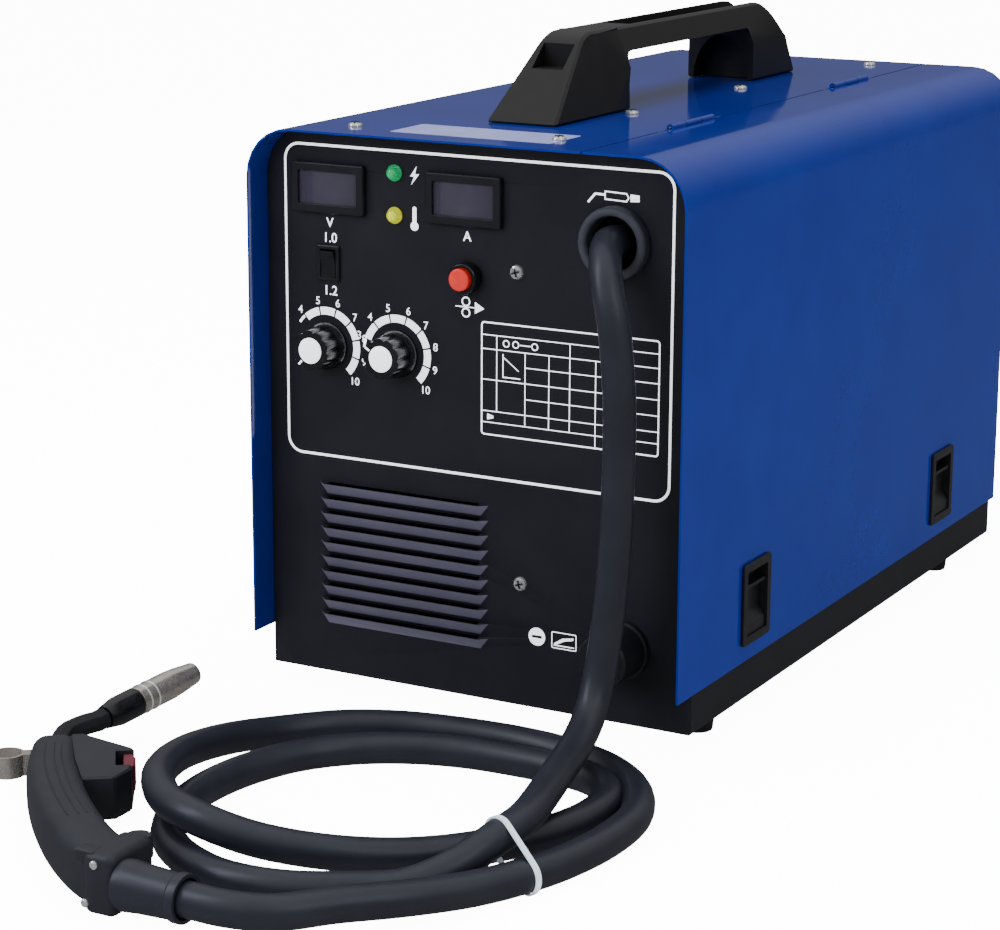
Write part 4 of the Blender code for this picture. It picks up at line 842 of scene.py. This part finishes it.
def nozzleRing(at):
    under = nozzleShape["base"] - nozzleShape["ringSunk"]
    over = nozzleShape["base"] + nozzleShape["ringProud"]
    end, edge = at + nozzleShape["ringWide"], nozzleShape["ringEdge"]
    profile = [(under, at), (over, at + edge), (over, end - edge), (under, end)]
    return lathe("ring", profile, nozzleStart, headAlong, 48)


put(joined("nozzleRings", [nozzleRing(at) for at in nozzleShape["ringAt"]]), nozzleLinePaintedHighlight)
put(lathe("contactTip", nozzleShape["tip"], nozzleStart, headAlong, 24), copper)
print("stage: torch")

# Cable tie: a thin nylon strap round two neighbouring runs of hose.
tieShape = {
    "upperAt": (0.132, -0.212), "lowerAt": (0.153, -0.207), "wide": 0.0030, "thick": 0.0011, "clear": 0.6,
    "halfSteps": 16,
}


def nearestOn(place, firstIndex, lastIndex):
    return min(range(firstIndex, lastIndex), key=lambda i: (hosePoints[i].xy - Vector(place)).length)


total = len(hosePoints)
upper = nearestOn(tieShape["upperAt"], 0, total // 3)
lower = nearestOn(tieShape["lowerAt"], 2 * total // 3, total)
upperPoint, lowerPoint = hosePoints[upper], hosePoints[lower]
heading = (hosePoints[lower + 2] - hosePoints[lower - 2]).normalized()
apart = lowerPoint - upperPoint
across = (apart - heading * apart.dot(heading)).normalized()
upward = heading.cross(across).normalized()
loopRadius = hoseShape["diameter"] / 2 + tieShape["thick"] * tieShape["clear"]
loop = []
for centre, first in ((upperPoint, 90), (upperPoint + across * apart.dot(across), -90)):
    for step in range(tieShape["halfSteps"] + 1):
        angle = math.radians(first + 180 * step / tieShape["halfSteps"])
        loop.append(centre + across * (loopRadius * math.cos(angle)) + upward * (loopRadius * math.sin(angle)))
tieRings = []
for index, point in enumerate(loop):
    following, before = loop[(index + 1) % len(loop)], loop[index - 1]
    half = heading * tieShape["wide"] / 2
    thick = (following - before).cross(heading).normalized() * tieShape["thick"] / 2
    tieRings.append([point - half - thick, point + half - thick, point + half + thick, point - half + thick])
bm = bmesh.new()
tieRows = [[bm.verts.new(corner) for corner in corners] for corners in tieRings]
for index, row in enumerate(tieRows):
    nextRow = tieRows[(index + 1) % len(tieRows)]
    for i in range(4):
        j = (i + 1) % 4
        bm.faces.new((row[i], row[j], nextRow[j], nextRow[i]))
put(meshPiece("cableTie", bm), whiteNylon)
print("stage: tie")

# Room and light.
roomLight = {
    "seen": 16.0, "lit": 0.60, "zenithMirrored": 0.95, "horizonMirrored": 0.12,
    "floorSeen": 13.0, "floorLit": 0.35, "floorMirrored": 0.10, "floorDrop": 0.0002, "floorHalf": 6,
    "paper": "#f2f2f2", "paperMirrored": "#3c3c3c", "paperRough": 0.95,
}


def glow(tree, seen, lit, mirrored):
    # One brightness for the camera, one for the light that falls on the object, and one, a number or
    # a socket, for what the object mirrors.
    path = addNode(tree, "ShaderNodeLightPath")
    settings, links = {"To Min": lit}, {"Value": path["Is Glossy Ray"]}
    (settings if isinstance(mirrored, float) else links)["To Max"] = mirrored
    shine = addNode(tree, "ShaderNodeMapRange", settings, links)["Result"]
    chosen = {0: path["Is Camera Ray"], 2: shine}
    return addNode(tree, "ShaderNodeMix", {"data_type": "FLOAT", 3: seen}, chosen)[0]


half = roomLight["floorHalf"]
floor = bpy.data.meshes.new("floor")
floor.from_pydata([(-half, -half, 0), (half, -half, 0), (half, half, 0), (-half, half, 0)], [], [(0, 1, 2, 3)])
floorPiece = bpy.data.objects.new("floor", floor)
bpy.context.scene.collection.objects.link(floorPiece)
floorPiece.location.z = -roomLight["floorDrop"]
# Matt white paper: pale and even, and dimmer in what the paint mirrors.
paper = bpy.data.materials.new("matt_white_paper")
paper.use_nodes = True
paperTree = paper.node_tree
paperShader = paperTree.nodes["Principled BSDF"]
paperShader.inputs["Roughness"].default_value = roomLight["paperRough"]
paperShader.inputs["Specular IOR Level"].default_value = 0.0
paperShader.inputs["Emission Color"].default_value = (1, 1, 1, 1)
asMirrored = addNode(paperTree, "ShaderNodeLightPath")["Is Glossy Ray"]
paperTones = {"data_type": "RGBA", 6: colour(roomLight["paper"]), 7: colour(roomLight["paperMirrored"])}
paperTone = addNode(paperTree, "ShaderNodeMix", paperTones, {0: asMirrored})[2]
paperTree.links.new(paperTone, paperShader.inputs["Base Color"])
paperGlow = glow(paperTree, roomLight["floorSeen"], roomLight["floorLit"], roomLight["floorMirrored"])
paperTree.links.new(paperGlow, paperShader.inputs["Emission Strength"])
floorPiece.data.materials.append(paper)

# What the paint mirrors of the room is darkest at the horizon and brightest overhead.
world = bpy.data.worlds.new("studio")
world.use_nodes = True
bpy.context.scene.world = world
worldTree = world.node_tree
backdrop = worldTree.nodes["Background"]
backdrop.inputs["Color"].default_value = (1, 1, 1, 1)
toward = addNode(worldTree, "ShaderNodeTexCoord")["Generated"]
height = addNode(worldTree, "ShaderNodeSeparateXYZ", {}, {"Vector": toward})["Z"]
skyRange = {
    "interpolation_type": "SMOOTHSTEP",
    "To Min": roomLight["horizonMirrored"],
    "To Max": roomLight["zenithMirrored"],
}
skyGlow = addNode(worldTree, "ShaderNodeMapRange", skyRange, {"Value": height})["Result"]
worldTree.links.new(glow(worldTree, roomLight["seen"], roomLight["lit"], skyGlow), backdrop.inputs["Strength"])

softBoxes = {
    "overhead": {"place": (0.0, 0.2, 2.0), "target": (0, 0.1, 0.2), "size": (1.4, 1.4), "power": 46,
                 "tint": "#f4f6ff", "mirrored": False},
    "rightSide": {"place": (2.4, 0.2, 1.0), "target": (0, 0, 0.15), "size": (1.4, 1.6), "power": 16,
                  "tint": "#f2f5ff", "mirrored": False},
    "front": {"place": (-0.5, -2.6, 1.3), "target": (0, 0, 0.15), "size": (1.2, 1.2), "power": 62,
              "tint": "#eef2ff", "mirrored": False},
    "strip": {"place": (-1.5, -1.5, 1.6), "target": (0, -0.2, 0.1), "size": (0.5, 1.6), "power": 18,
              "tint": "#e2e9ff", "mirrored": True},
    "stripRight": {"place": (1.9, -0.9, 1.5), "target": (0, -0.2, 0.1), "size": (0.14, 1.4), "power": 4,
                   "tint": "#e2e9ff", "mirrored": True},
}
for name, box in softBoxes.items():
    lamp = bpy.data.lights.new(name, "AREA")
    lamp.shape = "RECTANGLE"
    lamp.size, lamp.size_y = box["size"]
    lamp.energy = box["power"]
    lamp.color = colour(box["tint"])[:3]
    obj = bpy.data.objects.new(name, lamp)
    bpy.context.scene.collection.objects.link(obj)
    obj.location = box["place"]
    obj.rotation_euler = (Vector(box["place"]) - Vector(box["target"])).to_track_quat("Z", "Y").to_euler()
    obj.visible_glossy = box["mirrored"]
print("stage: light")
